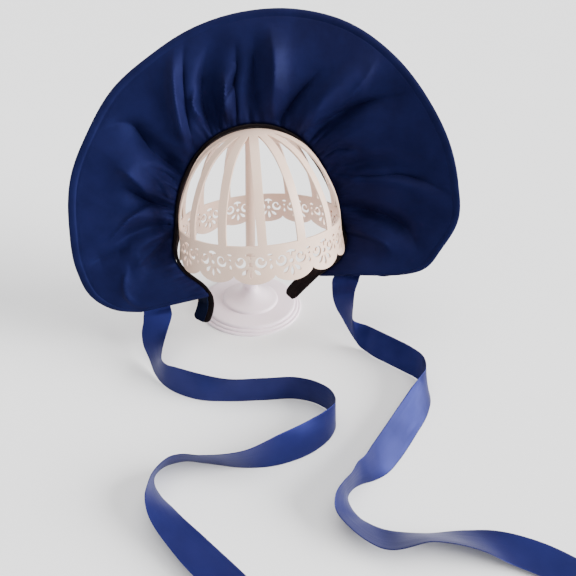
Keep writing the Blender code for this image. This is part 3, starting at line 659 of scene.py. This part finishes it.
@dataclass
class Studio:
    """Plain pale floor and soft light."""

    floor_half: float = 12.0
    floor_colour: Colour = (0.95, 0.95, 0.955)
    sky: float = 0.48
    floor_patch: float = 300.0
    windows: tuple[Window, ...] = (
        Window("left window", (-0.80, -0.60, 0.60), spread=60.0, power=0.6, colour=(1.0, 0.99, 0.98)),
        Window("right window", (0.95, -0.12, 0.35), spread=44.0, power=9.5),
        Window("top", (0.0, 0.10, 1.00), spread=60.0, power=2.4),
    )

    def build(self) -> None:
        """Make the floor, the surrounding light and the windows."""
        half = self.floor_half
        mesh = bpy.data.meshes.new("floor")
        mesh.from_pydata([(-half, -half, 0), (half, -half, 0), (half, half, 0), (-half, half, 0)],
                         [], [(0, 1, 2, 3)])
        net = NodeTree("pale floor")
        darker = tuple(part * 0.99 for part in self.floor_colour)
        patches = net.spread(net.noise(net.coordinates(), self.floor_patch), 0.0, 1.0)
        net.shade(Base_Color=net.blend(patches, self.floor_colour, darker),
                  Roughness=0.85, Specular_IOR_Level=0.2)
        mesh.materials.append(net.material)
        floor = bpy.data.objects.new("floor", mesh)
        bpy.context.scene.collection.objects.link(floor)
        world = bpy.data.worlds.new("soft surround")
        world.use_nodes = True
        surround = world.node_tree.nodes["Background"]
        surround.inputs["Color"].default_value = (1.0, 1.0, 1.0, 1.0)
        surround.inputs["Strength"].default_value = self.sky
        bpy.context.scene.world = world
        for window in self.windows:
            window.add()


@dataclass
class Stand:
    """The turned foot and the post."""

    foot_sides: int = 160
    foot_parts: int = 2
    post_sides: int = 48
    sharp: float = 60.0

    def smoothed(self, profile: Sequence[Turn], pieces: int) -> list[Turn]:
        """The profile with extra places along each of its sides, for even shading."""
        corners = np.array(profile)
        where = np.arange((len(corners) - 1) * pieces + 1) / pieces
        return [Turn(*place) for place in np.stack(
            [np.interp(where, np.arange(len(corners)), corners[:, i]) for i in range(2)], axis=-1)]

    def build(self) -> None:
        """Make both pieces and put them in place of their solids."""
        foot = Surface.turned(self.smoothed(FOOT_PROFILE, self.foot_parts), self.foot_sides)
        post = Surface.turned(POST_PROFILE, self.post_sides)
        for surface, node, finish, slot in ((foot, "stand_foot", LAVENDER_PAINT, "foot_paint"),
                                            (post, "stand_post", CREAM_PAINT, "cream_paint")):
            settle(surface.piece(node + "_turned", finish.material(), crease=self.sharp), node)


def settle(piece: bpy.types.Object, node: str) -> None:
    """Let a piece ride on the body and stand for a CAD node."""
    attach(piece, BODY)
    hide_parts(node)


@dataclass
class Dome:
    """Bent bars over a pierced, scalloped collar, fused into one thin shell."""

    radius: float = 71.0
    wall: float = 1.6
    centre: tuple[float, float, float] = (9.1, -8.9, 103.4)
    lean: tuple[float, float, float] = (-7.1, -5.55, 0.0)
    bars: int = 14
    bar_width: float = 7.2
    bar_steps: int = 40
    bar_parts: int = 4
    hub_half_angle: float = 13.4
    notch: float = 24.0
    scallop_drop: float = 6.5
    scallop_steps: int = 22
    first_bar: float = -83.4
    scallop_shift: float = -6.4
    motif_offset: float = -2.2
    fill_spacing: float = 1.7
    fill_clear: float = 0.55
    top_parts: tuple[int, int] = (3, 6)
    side_parts: int = 12
    hub_parts: int = 6
    sharp: float = 50.0
    edge_round: float = 0.25

    @property
    def pitch(self) -> float:
        """Length round the collar from one bar to the next."""
        return self.radius * 2 * math.pi / self.bars

    @property
    def bar_middle(self) -> float:
        """Where the bar stands along its scallop."""
        return self.pitch / 2 - math.radians(self.scallop_shift) * self.radius

    def surface(self, places: np.ndarray, inset: float) -> np.ndarray:
        """Points of the dome.

        Above the collar's top a place's height is an arc of a ball, whose radius is widened by
        the swell table; below it the wall goes straight down, widened by the same table.

        Args:
            places: direction in radians and height along the wall, a row for each point.
            inset: how far inside the outer face.

        Returns:
            Points in the dome's own frame.
        """
        angle, height = places.T
        latitude = np.degrees(height / self.radius)
        radius = self.radius - inset + through(column(DOME_SWELL, "latitude"),
                                               column(DOME_SWELL, "offset"), latitude)
        rise = np.clip(height, 0, None) / self.radius
        level = radius * np.cos(rise)
        return np.column_stack([level * np.cos(angle), level * np.sin(angle),
                                radius * np.sin(rise) + np.clip(height, None, 0)])

    def openings(self) -> list[np.ndarray]:
        """Outlines of every opening cut in one scallop: the motif and the small ones beside it.

        Each call gives the opening's place along and up the collar and then its own sizes.
        """
        middle = self.pitch / 2 + self.motif_offset
        shapes = [crown(middle, -5.3), oval(middle, -14.6, 1.75, 1.75)]
        for side in (-1, 1):
            shapes.append(scroll(middle + side * 8.3, -12.9, 3.7, 2.3, side))
            shapes.append(petal(middle + side * 1.9, -18.0, 7.6, 3.1, side * 44))
        shapes.append(petal(middle, -18.0, 8.6, 2.8, 0))
        shapes.append(oval(self.pitch - 2.9, -7.4, 2.0, 1.0))
        shapes.append(oval(self.pitch - 2.6, -11.6, 1.0, 1.0))
        shapes.append(petal(self.pitch - 2.5, -14.6, 4.8, 2.2, 0))
        return shapes

    def panel(self) -> np.ndarray:
        """Flat triangles of one scallop with its openings cut through.

        The outline, the openings and a field of inner points are joined by a constrained
        triangulation; triangles outside the outline or inside an opening are dropped.
        """
        half = self.bar_width / 2
        turn = np.arange(1, self.scallop_steps) / self.scallop_steps
        lower = np.column_stack([self.pitch * turn,
                                 -self.notch - self.scallop_drop * np.sin(np.pi * turn) ** 0.6])
        side = np.linspace(0, -self.notch, self.side_parts + 1)
        bar = self.bar_middle + np.linspace(half, -half, self.bar_parts + 1)
        right, left = self.top_parts
        top = np.concatenate([np.linspace(self.pitch, bar[0], right + 1)[1:-1], bar,
                              np.linspace(bar[-1], 0, left + 1)[1:-1]])
        outline = np.vstack([
            np.column_stack([0 * side, side]), lower,
            np.column_stack([0 * side + self.pitch, side[::-1]]), np.column_stack([top, 0 * top])])
        loops = [outline, *self.openings()]
        corners = np.vstack(loops)
        starts = np.cumsum([0] + [len(loop) for loop in loops])
        edges = np.vstack([np.column_stack([np.arange(len(loop)), np.roll(np.arange(len(loop)), -1)]) + start
                           for loop, start in zip(loops, starts)])
        x, y = np.meshgrid(np.arange(self.fill_spacing, self.pitch - 0.5, self.fill_spacing),
                           np.arange(-1.2, -self.notch - self.scallop_drop, -self.fill_spacing))
        field_points = np.column_stack([x.ravel(), y.ravel()])
        far = distance_to_edges(field_points, corners, edges) > self.fill_clear * self.fill_spacing
        points = np.vstack([corners, field_points[far & inside(field_points, outline)]])
        flat, _, triangles, *_ = geometry.delaunay_2d_cdt(
            [Vector(point) for point in points], edges.tolist(), [], 0, 1e-5)
        flat, triangles = np.array(flat), np.array(triangles)
        middle = flat[triangles].mean(axis=1)
        kept = inside(middle, outline)
        for loop in loops[1:]:
            kept &= ~inside(middle, loop)
        return flat[triangles[kept]]

    def flat_faces(self) -> np.ndarray:
        """Triangles of the whole dome as directions and heights."""
        panel = self.panel()
        pitch_angle = 2 * math.pi / self.bars
        hub_edge = self.radius * (math.pi / 2 - math.radians(self.hub_half_angle))
        level = np.linspace(0, hub_edge, self.bar_steps + 1)
        across = np.linspace(-0.5, 0.5, self.bar_parts + 1)
        half = self.bar_width / (self.radius * np.cos(level / self.radius))
        grid = np.stack([across[None] * half[:, None], level[:, None] + 0 * across[None]], axis=-1)
        quads = grid.reshape(-1, 2)[grid_quads(len(level), len(across))]
        bar = np.vstack([quads[:, [0, 1, 2]], quads[:, [0, 2, 3]]])[:, ::-1]
        ring = np.linspace(hub_edge, self.radius * math.pi / 2, self.hub_parts + 1)
        x = across * pitch_angle
        fan = []
        for low, high in zip(ring[:-1], ring[1:]):
            a, b, c, d = (np.column_stack([part, 0 * part + height]) for part, height in
                          ((x[:-1], low), (x[1:], low), (x[1:], high), (x[:-1], high)))
            fan += [np.stack([a, b, c], axis=1), np.stack([a, c, d], axis=1)]
        hub = np.vstack(fan)
        faces = []
        first = math.radians(self.first_bar)
        for k in range(self.bars):
            shift = np.array([first + k * pitch_angle, 0.0])
            collar = panel / [self.radius, 1.0] + shift - [self.bar_middle / self.radius, 0.0]
            faces += [collar, bar + shift, hub + shift]
        return np.vstack(faces)

    def shell(self) -> Surface:
        """Outer and inner faces with walls along every free edge, points merged."""
        faces = self.flat_faces().reshape(-1, 2)
        outer, inner = self.surface(faces, 0.0), self.surface(faces, self.wall)
        _, first, index = np.unique(np.round(outer, 2), axis=0, return_index=True, return_inverse=True)
        triangles = index.reshape(-1, 3)
        triangles = triangles[(triangles != np.roll(triangles, 1, axis=1)).all(axis=1)]
        count = len(first)
        edges = np.vstack([triangles[:, [0, 1]], triangles[:, [1, 2]], triangles[:, [2, 0]]])
        forward = edges[:, 0] * count + edges[:, 1]
        backward = edges[:, 1] * count + edges[:, 0]
        free = edges[~np.isin(forward, backward)]
        walls = np.vstack([np.column_stack([free[:, 1], free[:, 0], free[:, 0] + count]),
                           np.column_stack([free[:, 1], free[:, 0] + count, free[:, 1] + count])])
        everything = np.vstack([triangles, triangles[:, ::-1] + count, walls])
        points = np.vstack([outer[first], inner[first]])
        flat = np.vstack([faces[first] * [self.radius, 1.0]] * 2)
        return Surface(points, everything, flat)

    def build(self) -> None:
        """Make the dome and put it in place of its solid."""
        surface = self.shell().placed(turn_matrix(self.lean), self.centre)
        piece = surface.piece("stand_dome_pierced", CREAM_PAINT.material(), crease=self.sharp)
        bevel = piece.modifiers.new("soft edges", "BEVEL")
        bevel.width, bevel.segments, bevel.limit_method = self.edge_round * MM, 2, "ANGLE"
        bevel.angle_limit = math.radians(self.sharp)
        bevel.harden_normals = True
        settle(piece, "stand_dome")


def inside(points: np.ndarray, outline: np.ndarray) -> np.ndarray:
    """Whether flat points lie inside an outline: a ray to the right crosses it an odd number of times."""
    x, y = points[:, :1], points[:, 1:]
    (x0, y0), (x1, y1) = outline.T, np.roll(outline, -1, axis=0).T
    spans = (y0 > y) != (y1 > y)
    with np.errstate(divide="ignore", invalid="ignore"):
        crossing = x0 + (y - y0) * (x1 - x0) / (y1 - y0)
    return (spans & (x < crossing)).sum(axis=1) % 2 == 1


def distance_to_edges(points: np.ndarray, corners: np.ndarray, edges: np.ndarray) -> np.ndarray:
    """Shortest distance from each flat point to any of the edges."""
    a, b = corners[edges[:, 0]], corners[edges[:, 1]]
    along = b - a
    part = ((points[:, None] - a) * along).sum(-1) / np.maximum((along ** 2).sum(-1), 1e-9)
    foot = a + np.clip(part, 0, 1)[..., None] * along
    return np.linalg.norm(points[:, None] - foot, axis=-1).min(axis=1)


def oval(x: float, y: float, half_width: float, half_height: float, sides: int = 14) -> np.ndarray:
    """Outline of an oval opening."""
    turn = np.linspace(0, 2 * math.pi, sides, endpoint=False)
    return np.column_stack([x + half_width * np.cos(turn), y + half_height * np.sin(turn)])


def petal(x: float, y: float, length: float, width: float, lean: float, steps: int = 8) -> np.ndarray:
    """Outline of a drop with its tip at x, y: its half width grows with the way down, then closes."""
    way = np.linspace(0, 1, steps)
    half = width / 2 * np.sin(np.pi * way ** 1.5) ** 0.8
    side = np.vstack([np.column_stack([half, -way * length]),
                      np.column_stack([-half, -way * length])[-2:0:-1]])
    turn = math.radians(lean)
    spin = np.array([[math.cos(turn), -math.sin(turn)], [math.sin(turn), math.cos(turn)]])
    return side @ spin.T + [x, y]


def scroll(x: float, y: float, radius: float, width: float, side: int, steps: int = 20) -> np.ndarray:
    """Outline of a curled slot with a blob at its inner end, mirrored by side = -1.

    The slot's middle line is a spiral from 20 to 375 degrees. It winds out from a third of the
    radius to all of it in the first quarter. Its half width is largest at the blob and at the
    bottom of the curl, and comes to a point at the outer end.
    """
    part = np.linspace(0, 1, steps + 1)
    turn = np.radians(20 + 355 * part)
    reach = radius * (0.34 + 0.66 * np.clip(part / 0.27, 0, 1) ** 0.8)
    half = width / 2 * through(column(SCROLL, "part"), column(SCROLL, "width"), part)
    outer = np.column_stack([side * (reach + half) * np.cos(turn), (reach + half) * np.sin(turn)])
    inner = np.column_stack([side * (reach - half) * np.cos(turn), (reach - half) * np.sin(turn)])
    return np.vstack([outer, inner[::-1]]) + [x, y]


def crown(x: float, y: float) -> np.ndarray:
    """Outline of the small three-lobed opening at the top of a motif, with its stem."""
    half = np.array([(0.0, -5.4), (0.55, -5.2), (0.6, -3.0), (1.6, -2.4), (3.2, -2.8), (3.9, -2.2),
                     (3.6, -1.2), (2.4, -0.6), (1.2, -0.1), (0.0, 0.0)])
    mirrored = half[-2:0:-1] * [-1, 1]
    return np.vstack([half, mirrored]) + [x, y]


@dataclass
class Bonnet:
    """The head band, its satin facing and the gathered brim, in the bonnet's own frame.

    hem_share, end_share, tuck_share, pleat_reach, seam_rows and first_row are parts of the brim's
    width or run, and the lengths are in millimetres. Pleats are waves of the direction in degrees,
    and the fuzz is waves of the length along a strap. cut, a flat strip in metres, is not used.
    """

    centre: tuple[float, float, float] = (7.9, -8.9, 103.4)
    turn: tuple[float, float, float] = (63.9, 0.0, 4.34)
    band_width: float = 16.0
    band_thickness: float = 2.6
    band_round: float = 5.0
    facing_gap: float = 0.5
    facing_thickness: float = 0.8
    facing_sink: float = 0.3
    facing_edges: tuple[float, float] = (-7.6, 3.3)
    strap_stations: int = 420
    end_steps: int = 9
    brim_middle_depth: float = 0.7
    brim_wall: float = 1.2
    brim_round: float = 0.7
    hem_wall: float = 2.3
    hem_share: float = 0.08
    hem_width: float = 6.2
    stitch_depth: float = 0.25
    stitch_width: float = 0.45
    seam: float = 5.6
    puff: float = 7.0
    end_share: float = 0.10
    end_lift: float = 0.25
    fold_narrowing: float = 0.45
    tuck: float = 1.9
    tuck_share: float = 0.006
    crease_round: float = 0.6
    pleat_height: float = 1.3
    pleat_reach: float = 0.22
    pleats: tuple[Wave, ...] = (Wave(0.145, 0.10, 0.55), Wave(0.231, 0.35, 0.45), Wave(0.087, 0.70, 0.45))
    crumples: tuple[Wave, ...] = (Wave(0.05, 0.2, 0.35), Wave(0.083, 0.6, 0.30))
    long_fuzz: tuple[Wave, ...] = (Wave(0.11, 0.2, 1.0), Wave(0.31, 0.6, 0.6))
    short_fuzz: tuple[Wave, ...] = (Wave(0.47, 0.1, 1.0),)
    cut: tuple[float, float] = (0.70, 0.085)
    brim_columns: int = 520
    seam_rows: tuple[float, ...] = (0.0, 0.003, 0.006, 0.010)
    first_row: float = 0.015
    inner_rows: int = 62
    hem_rows: int = 18

    @property
    def matrix(self) -> np.ndarray:
        """The bonnet frame's turn."""
        return turn_matrix(self.turn)

    def band_line(self, angle: np.ndarray) -> np.ndarray:
        """Points of the band's middle line."""
        angles = column(BAND_PATH, "angle")
        radius, forward = (through(angles, column(BAND_PATH, name), angle) for name in ("radius", "forward"))
        return polar(angle, radius, forward)

    def band_frame(self, angle: np.ndarray) -> tuple[np.ndarray, np.ndarray, np.ndarray]:
        """The band's middle line with its outward and forward directions, square to its run."""
        run = unit(self.band_line(angle + 0.2) - self.band_line(angle - 0.2))
        side = unit(np.cross(run, [0.0, 0.0, 1.0]))
        ahead = np.cross(side, run)
        twist = through(column(BAND_PATH, "angle"), column(BAND_PATH, "twist"), angle)
        turn = np.radians(twist)[..., None]
        return (self.band_line(angle), side * np.cos(turn) - ahead * np.sin(turn),
                ahead * np.cos(turn) + side * np.sin(turn))

    def strap(self, edges: tuple[float, float], inner: float, outer: float, parts: int,
              rounding: float, fuzz: float) -> Surface:
        """A strap along the band's line with rounded ends and edges.

        Each point lies on the band's cross line at its width, and half the thickness away from
        the strap's middle, times a quarter circle near the edges and ends.

        Args:
            edges: back and front edge, measured forward from the band's middle.
            inner: depth of the inner face, outward from the band's middle.
            outer: depth of the outer face.
            parts: places across the width.
            rounding: radius of the long edges.
            fuzz: height of small uneven waves.

        Returns:
            The strap's closed sheet, in the frame of the whole object.
        """
        fine = np.linspace(BAND_PATH[0].angle, BAND_PATH[-1].angle, 2000)
        length = arc_length(self.band_line(fine))
        end = self.band_round * eased(self.end_steps)[1:-1] / 2
        where = np.sort(np.concatenate([np.linspace(0, length[-1], self.strap_stations), end,
                                        length[-1] - end]))
        angle = np.interp(where, length, fine)
        from_end = np.minimum(where, length[-1] - where)
        trim = self.band_round - np.sqrt(self.band_round ** 2
                                         - np.clip(self.band_round - from_end, 0, None) ** 2)
        low = np.maximum(edges[0], trim - self.band_width / 2)
        high = np.minimum(edges[1], self.band_width / 2 - trim)
        part = eased(parts)
        width = low[:, None] * (1 - part) + high[:, None] * part
        near = np.minimum(width - low[:, None], high[:, None] - width)
        share = np.minimum(round_share(near, rounding), round_share(from_end, rounding)[:, None])
        middle, outward, forward = self.band_frame(angle)
        centre, half = (inner + outer) / 2, (outer - inner) / 2
        wave = fuzz * (ripple(where, self.long_fuzz)[:, None] * np.sin(np.pi * part)[None]
                       + 0.5 * ripple(where, self.short_fuzz)[:, None])
        line = middle[:, None] + forward[:, None] * width[..., None]
        front = line + outward[:, None] * (centre + half * share + wave)[..., None]
        back = line + outward[:, None] * (centre - half * share + 0.4 * wave)[..., None]
        flat = np.stack([where[:, None] + 0 * width, width], axis=-1)
        return Surface.sheet(front, back, flat).placed(self.matrix, self.centre)

    def brim_middle(self, share: np.ndarray, across: np.ndarray, fine: bool) -> np.ndarray:
        """Middle surface of the brim.

        The cloth is a straight line from its seam on the band to its wired edge, swollen forward,
        with each fold added as a bell-shaped ridge whose height follows a half sine along it.

        Args:
            share: part of the way from the left lower edge over the top to the right lower edge.
            across: part of the way from the band to the outer edge.
            fine: whether creases, gathers at the seam and crumples are added.

        Returns:
            Points in the bonnet's frame.
        """
        outline = polar(column(BRIM_OUTLINE, "angle"), column(BRIM_OUTLINE, "reach"),
                        column(BRIM_OUTLINE, "forward"))
        run = arc_length(outline)
        run /= run[-1]
        band_angle, angle, reach, forward = (through(run, column(BRIM_OUTLINE, name), share)
                                             for name in Outline._fields)
        middle, outward, ahead = self.band_frame(band_angle)
        out = self.band_thickness / 2 + self.facing_gap + self.brim_middle_depth
        seam = middle + outward * out + ahead * self.seam
        edge = polar(angle, reach, forward)
        blend = across[..., None]
        sheet = seam * (1 - blend) + edge * blend
        radius = np.hypot(sheet[..., 0], sheet[..., 1])
        direction = band_angle * (1 - across) + angle * across
        ends = np.clip(np.minimum(share, 1 - share) / self.end_share, 0, 1)
        across = np.clip(across, 0, 1)
        lift = self.puff * np.sin(np.pi * across ** 0.75)
        for fold in BRIM_FOLDS:
            along = np.clip((across - fold.start) / (fold.end - fold.start), 0, 1)
            crest = fold.band_angle + (fold.end_angle - fold.band_angle) * along
            width = fold.width * (1 - self.fold_narrowing * (1 - along))
            offset = np.radians(direction - crest) * radius
            rise = fold.height * np.sin(np.pi * along ** 0.6) ** 1.4
            lift = lift + rise * np.exp(-(offset / width) ** 2)
        if fine:
            lift = (lift + self.gathers(direction, across) + self.creases(direction, across, radius)
                    - self.tuck * np.exp(-across / self.tuck_share))
        sheet[..., 2] += lift * (self.end_lift + (1 - self.end_lift) * ends)
        return sheet

    def creases(self, direction: np.ndarray, across: np.ndarray, radius: np.ndarray) -> np.ndarray:
        """Sharp lines: each falls away from its run by the exponential of minus the distance.

        A crease grows over the first quarter of its run and dies away over the last third.

        Args:
            direction: direction of each place, in degrees.
            across: part of the way from the band to the outer edge.
            radius: distance of each place from the bonnet's axis.

        Returns:
            Height of the creases at each place.
        """
        lift = 0 * direction
        for crease in BRIM_CREASES:
            turn, part = np.array(crease.run).T
            along = np.clip((across - part[0]) / (part[-1] - part[0]), 0, 1)
            crest = through(part, turn, np.clip(across, part[0], part[-1]))
            offset = np.radians(direction - crest) * radius
            width = np.where(offset > 0, crease.after, crease.before)
            fade = np.clip(4 * along, 0, 1) * np.clip(3 * (1 - along), 0, 1) ** 1.5
            distance = np.sqrt(offset ** 2 + self.crease_round ** 2) - self.crease_round
            lift = lift + crease.height * np.exp(-distance / width) * fade
        return lift

    def gathers(self, direction: np.ndarray, across: np.ndarray) -> np.ndarray:
        """Small pleats and slow crumples.

        The pleats are sines of the direction, which wanders by up to three degrees on the way
        out. They rise from the seam and die away by the exponential of minus the way out. The
        crumples are slow sines that are highest halfway.

        Args:
            direction: direction of each place, in degrees.
            across: part of the way from the band to the outer edge.

        Returns:
            Height of pleats and crumples at each place.
        """
        bend = direction + 3.0 * np.sin(across * 5 + direction * 0.11)
        fade = np.sin(np.pi * np.clip(across / 0.5, 0, 1) ** 0.45) * np.exp(-across / self.pleat_reach)
        slow = ripple(direction * 0.6 + across * 9.0, self.crumples)
        return self.pleat_height * ripple(bend, self.pleats) * fade + slow * np.sin(np.pi * across)

    def brim(self) -> Surface:
        """The brim's closed sheet, with a padded hem and a stitched line along it."""
        share = np.linspace(0, 1, self.brim_columns)
        hem = 1 - self.hem_share
        across = np.concatenate([self.seam_rows,
                                 np.linspace(self.first_row, hem, self.inner_rows, endpoint=False),
                                 np.linspace(hem, 1, self.hem_rows)])
        sheet = self.brim_middle(*np.meshgrid(share, across, indexing="ij"), fine=True)
        normal = grid_normals(sheet)
        normal *= np.sign(normal[..., 2:].mean())
        length = arc_length(sheet[:, -1])
        depth = np.linalg.norm(np.diff(sheet, axis=1), axis=-1)
        reach = np.concatenate([np.zeros((len(share), 1)), np.cumsum(depth, axis=1)], axis=1)
        from_edge = reach[:, -1:] - reach
        side = np.minimum(length, length[-1] - length)[:, None]
        nearest = np.minimum(from_edge, side * 0.9)
        roll = np.where(nearest < self.hem_width, 1.0, 0.0)
        profile = np.sin(np.pi * np.clip(nearest / self.hem_width, 0, 1)) ** 0.55
        wall = self.brim_wall * round_share(nearest, self.brim_round)
        wall = np.maximum(wall, self.hem_wall * profile * roll)
        stitch = self.stitch_depth * np.exp(-((nearest - self.hem_width) / self.stitch_width) ** 2)
        front = sheet + normal * (wall / 2 - stitch)[..., None]
        back = sheet - normal * (wall / 2 - stitch)[..., None]
        flat = np.stack([np.broadcast_to(length[:, None], reach.shape), reach], axis=-1)
        return Surface.sheet(front, back, flat).placed(self.matrix, self.centre)

    def build(self) -> None:
        """Make band, facing and brim and put them in place of their solids."""
        half = self.band_thickness / 2
        full = (-self.band_width / 2, self.band_width / 2)
        velvet = self.strap(full, -half, half, parts=15, rounding=1.2, fuzz=0.12)
        settle(velvet.piece("head_band_velvet", BLACK_VELVET.material()), "head_band")
        inner = half + self.facing_gap - self.facing_sink
        outer = half + self.facing_gap + self.facing_thickness
        satin = self.strap(self.facing_edges, inner, outer, parts=11, rounding=0.4, fuzz=0.05)
        settle(satin.piece("band_facing_satin", DARK_SATIN.material()), "band_facing")
        brim = self.brim().piece("brim_gathered", NAVY_SATIN.material())
        settle(brim, "brim")


@dataclass
class Ribbon:
    """A satin ribbon: sewn behind the brim, hanging, then lying on the table on its edge."""

    name: str
    sewn: Sewn
    run: tuple[Place, ...]
    width: float = 25.0
    wall: float = 0.5
    steps: tuple[float, ...] = (15.0, 9.0, 3.0, -4.0)
    behind: float = 3.5
    stations: int = 620
    parts: int = 17
    probe_columns: int = 50
    probe_rows: int = 90
    probe_points: int = 9
    edge_round: float = 0.4
    floor: float = 0.3
    lowest: float = 0.02
    waves: tuple[Wave, ...] = (Wave(0.010, 0.1, 0.5), Wave(0.023, 0.5, 0.3))

    def start(self, bonnet: Bonnet) -> np.ndarray:
        """Edges of the sewn end.

        Each row is a straight line behind the brim's middle surface: it has the slope between its
        two ends and is moved back until no point on it is nearer than the given distance.

        Args:
            bonnet: the bonnet that the ribbon is sewn to.

        Returns:
            For each row, its lower and its upper end.
        """
        share = np.linspace(self.sewn.first, self.sewn.last, self.probe_columns)
        across = np.linspace(0, 1, self.probe_rows)
        sheet = bonnet.brim_middle(*np.meshgrid(share, across, indexing="ij"), fine=False).reshape(-1, 3)
        part = np.linspace(0, 1, self.probe_points)
        ends = []
        for step in self.steps:
            line = (np.outer(1 - part, self.sewn.low) + np.outer(part, self.sewn.high)
                    + [self.sewn.slant * step, step])
            near = ((sheet[None, :, :2] - line[:, None]) ** 2).sum(-1).argmin(1)
            depth = sheet[near, 2] - self.behind
            straight = depth[0] * (1 - part) + depth[-1] * part
            straight -= (straight - depth).max()
            ends.append([(*line[i], straight[i]) for i in (0, -1)])
        return np.array(ends) @ bonnet.matrix.T + bonnet.centre

    def edges(self, bonnet: Bonnet) -> tuple[np.ndarray, np.ndarray]:
        """Rows of the ribbon's lower and upper edge, from the sewn end to the free one."""
        lower = np.array([(row.x, row.y, row.z) for row in self.run])
        toward, lean = np.radians(column(self.run, "toward")), np.radians(column(self.run, "lean"))
        up = np.stack([np.sin(lean) * np.cos(toward), np.sin(lean) * np.sin(toward), np.cos(lean)], axis=-1)
        start = self.start(bonnet)
        return np.vstack([start[:, 0], lower]), np.vstack([start[:, 1], lower + self.width * up])

    def surface(self, bonnet: Bonnet) -> Surface:
        """The ribbon's closed sheet.

        Its two edges are smooth curves through the rows, its width is held at the ribbon's own,
        and the cloth between them is straight apart from a slight curl across it in slow waves.

        Args:
            bonnet: the bonnet that the ribbon is sewn to.

        Returns:
            The ribbon as a closed sheet, in the frame of the whole object.
        """
        lower, upper = self.edges(bonnet)
        run = arc_length((lower + upper) / 2)
        where = np.linspace(0, run[-1], self.stations)
        low, high = (np.column_stack([through(run, edge[:, i], where) for i in range(3)])
                     for edge in (lower, upper))
        middle, half = (low + high) / 2, (high - low) / 2
        free = np.clip(where / self.steps[0] - 1, 0, 1)[:, None]
        half *= 1 + free * (self.width / 2 / np.linalg.norm(half, axis=1, keepdims=True) - 1)
        part = np.sin(np.linspace(-np.pi / 2, np.pi / 2, self.parts))
        grid = middle[:, None] + half[:, None] * part[None, :, None]
        normal = unit(np.cross(np.gradient(middle, axis=0), half))
        curl = ripple(where, self.waves)[:, None] * free * (1 - part ** 2)[None]
        grid = grid + normal[:, None] * curl[..., None]
        grid[..., 2] = np.maximum(grid[..., 2], self.floor)
        near = (1 - np.abs(part))[None] * self.width / 2
        ends = np.minimum(where, where[-1] - where)[:, None]
        share = np.minimum(round_share(near, self.edge_round), round_share(ends, self.edge_round))
        offset = normal[:, None] * (self.wall / 2 * share)[..., None]
        front, back = grid + offset, grid - offset
        flat = np.stack(np.broadcast_arrays(where[:, None], part * self.width / 2), axis=-1)
        surface = Surface.sheet(front, back, flat)
        surface.points[:, 2] = np.maximum(surface.points[:, 2], self.lowest)
        return surface

    def build(self, bonnet: Bonnet) -> None:
        """Make the ribbon and put it in place of its solid."""
        surface = self.surface(bonnet)
        piece = surface.piece(self.name + "_satin", ROYAL_SATIN.material())
        settle(piece, self.name)


def main() -> None:
    """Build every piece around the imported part."""
    logging.basicConfig(level=logging.INFO, format="%(name)s %(message)s")
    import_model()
    Viewpoint().add()
    Studio().build()
    Stand().build()
    Dome().build()
    bonnet = Bonnet()
    bonnet.build()
    Ribbon("ribbon_left", LEFT_SEWN, LEFT_RUN).build(bonnet)
    Ribbon("ribbon_right", RIGHT_SEWN, RIGHT_RUN).build(bonnet)


if __name__ == "__main__":
    main()
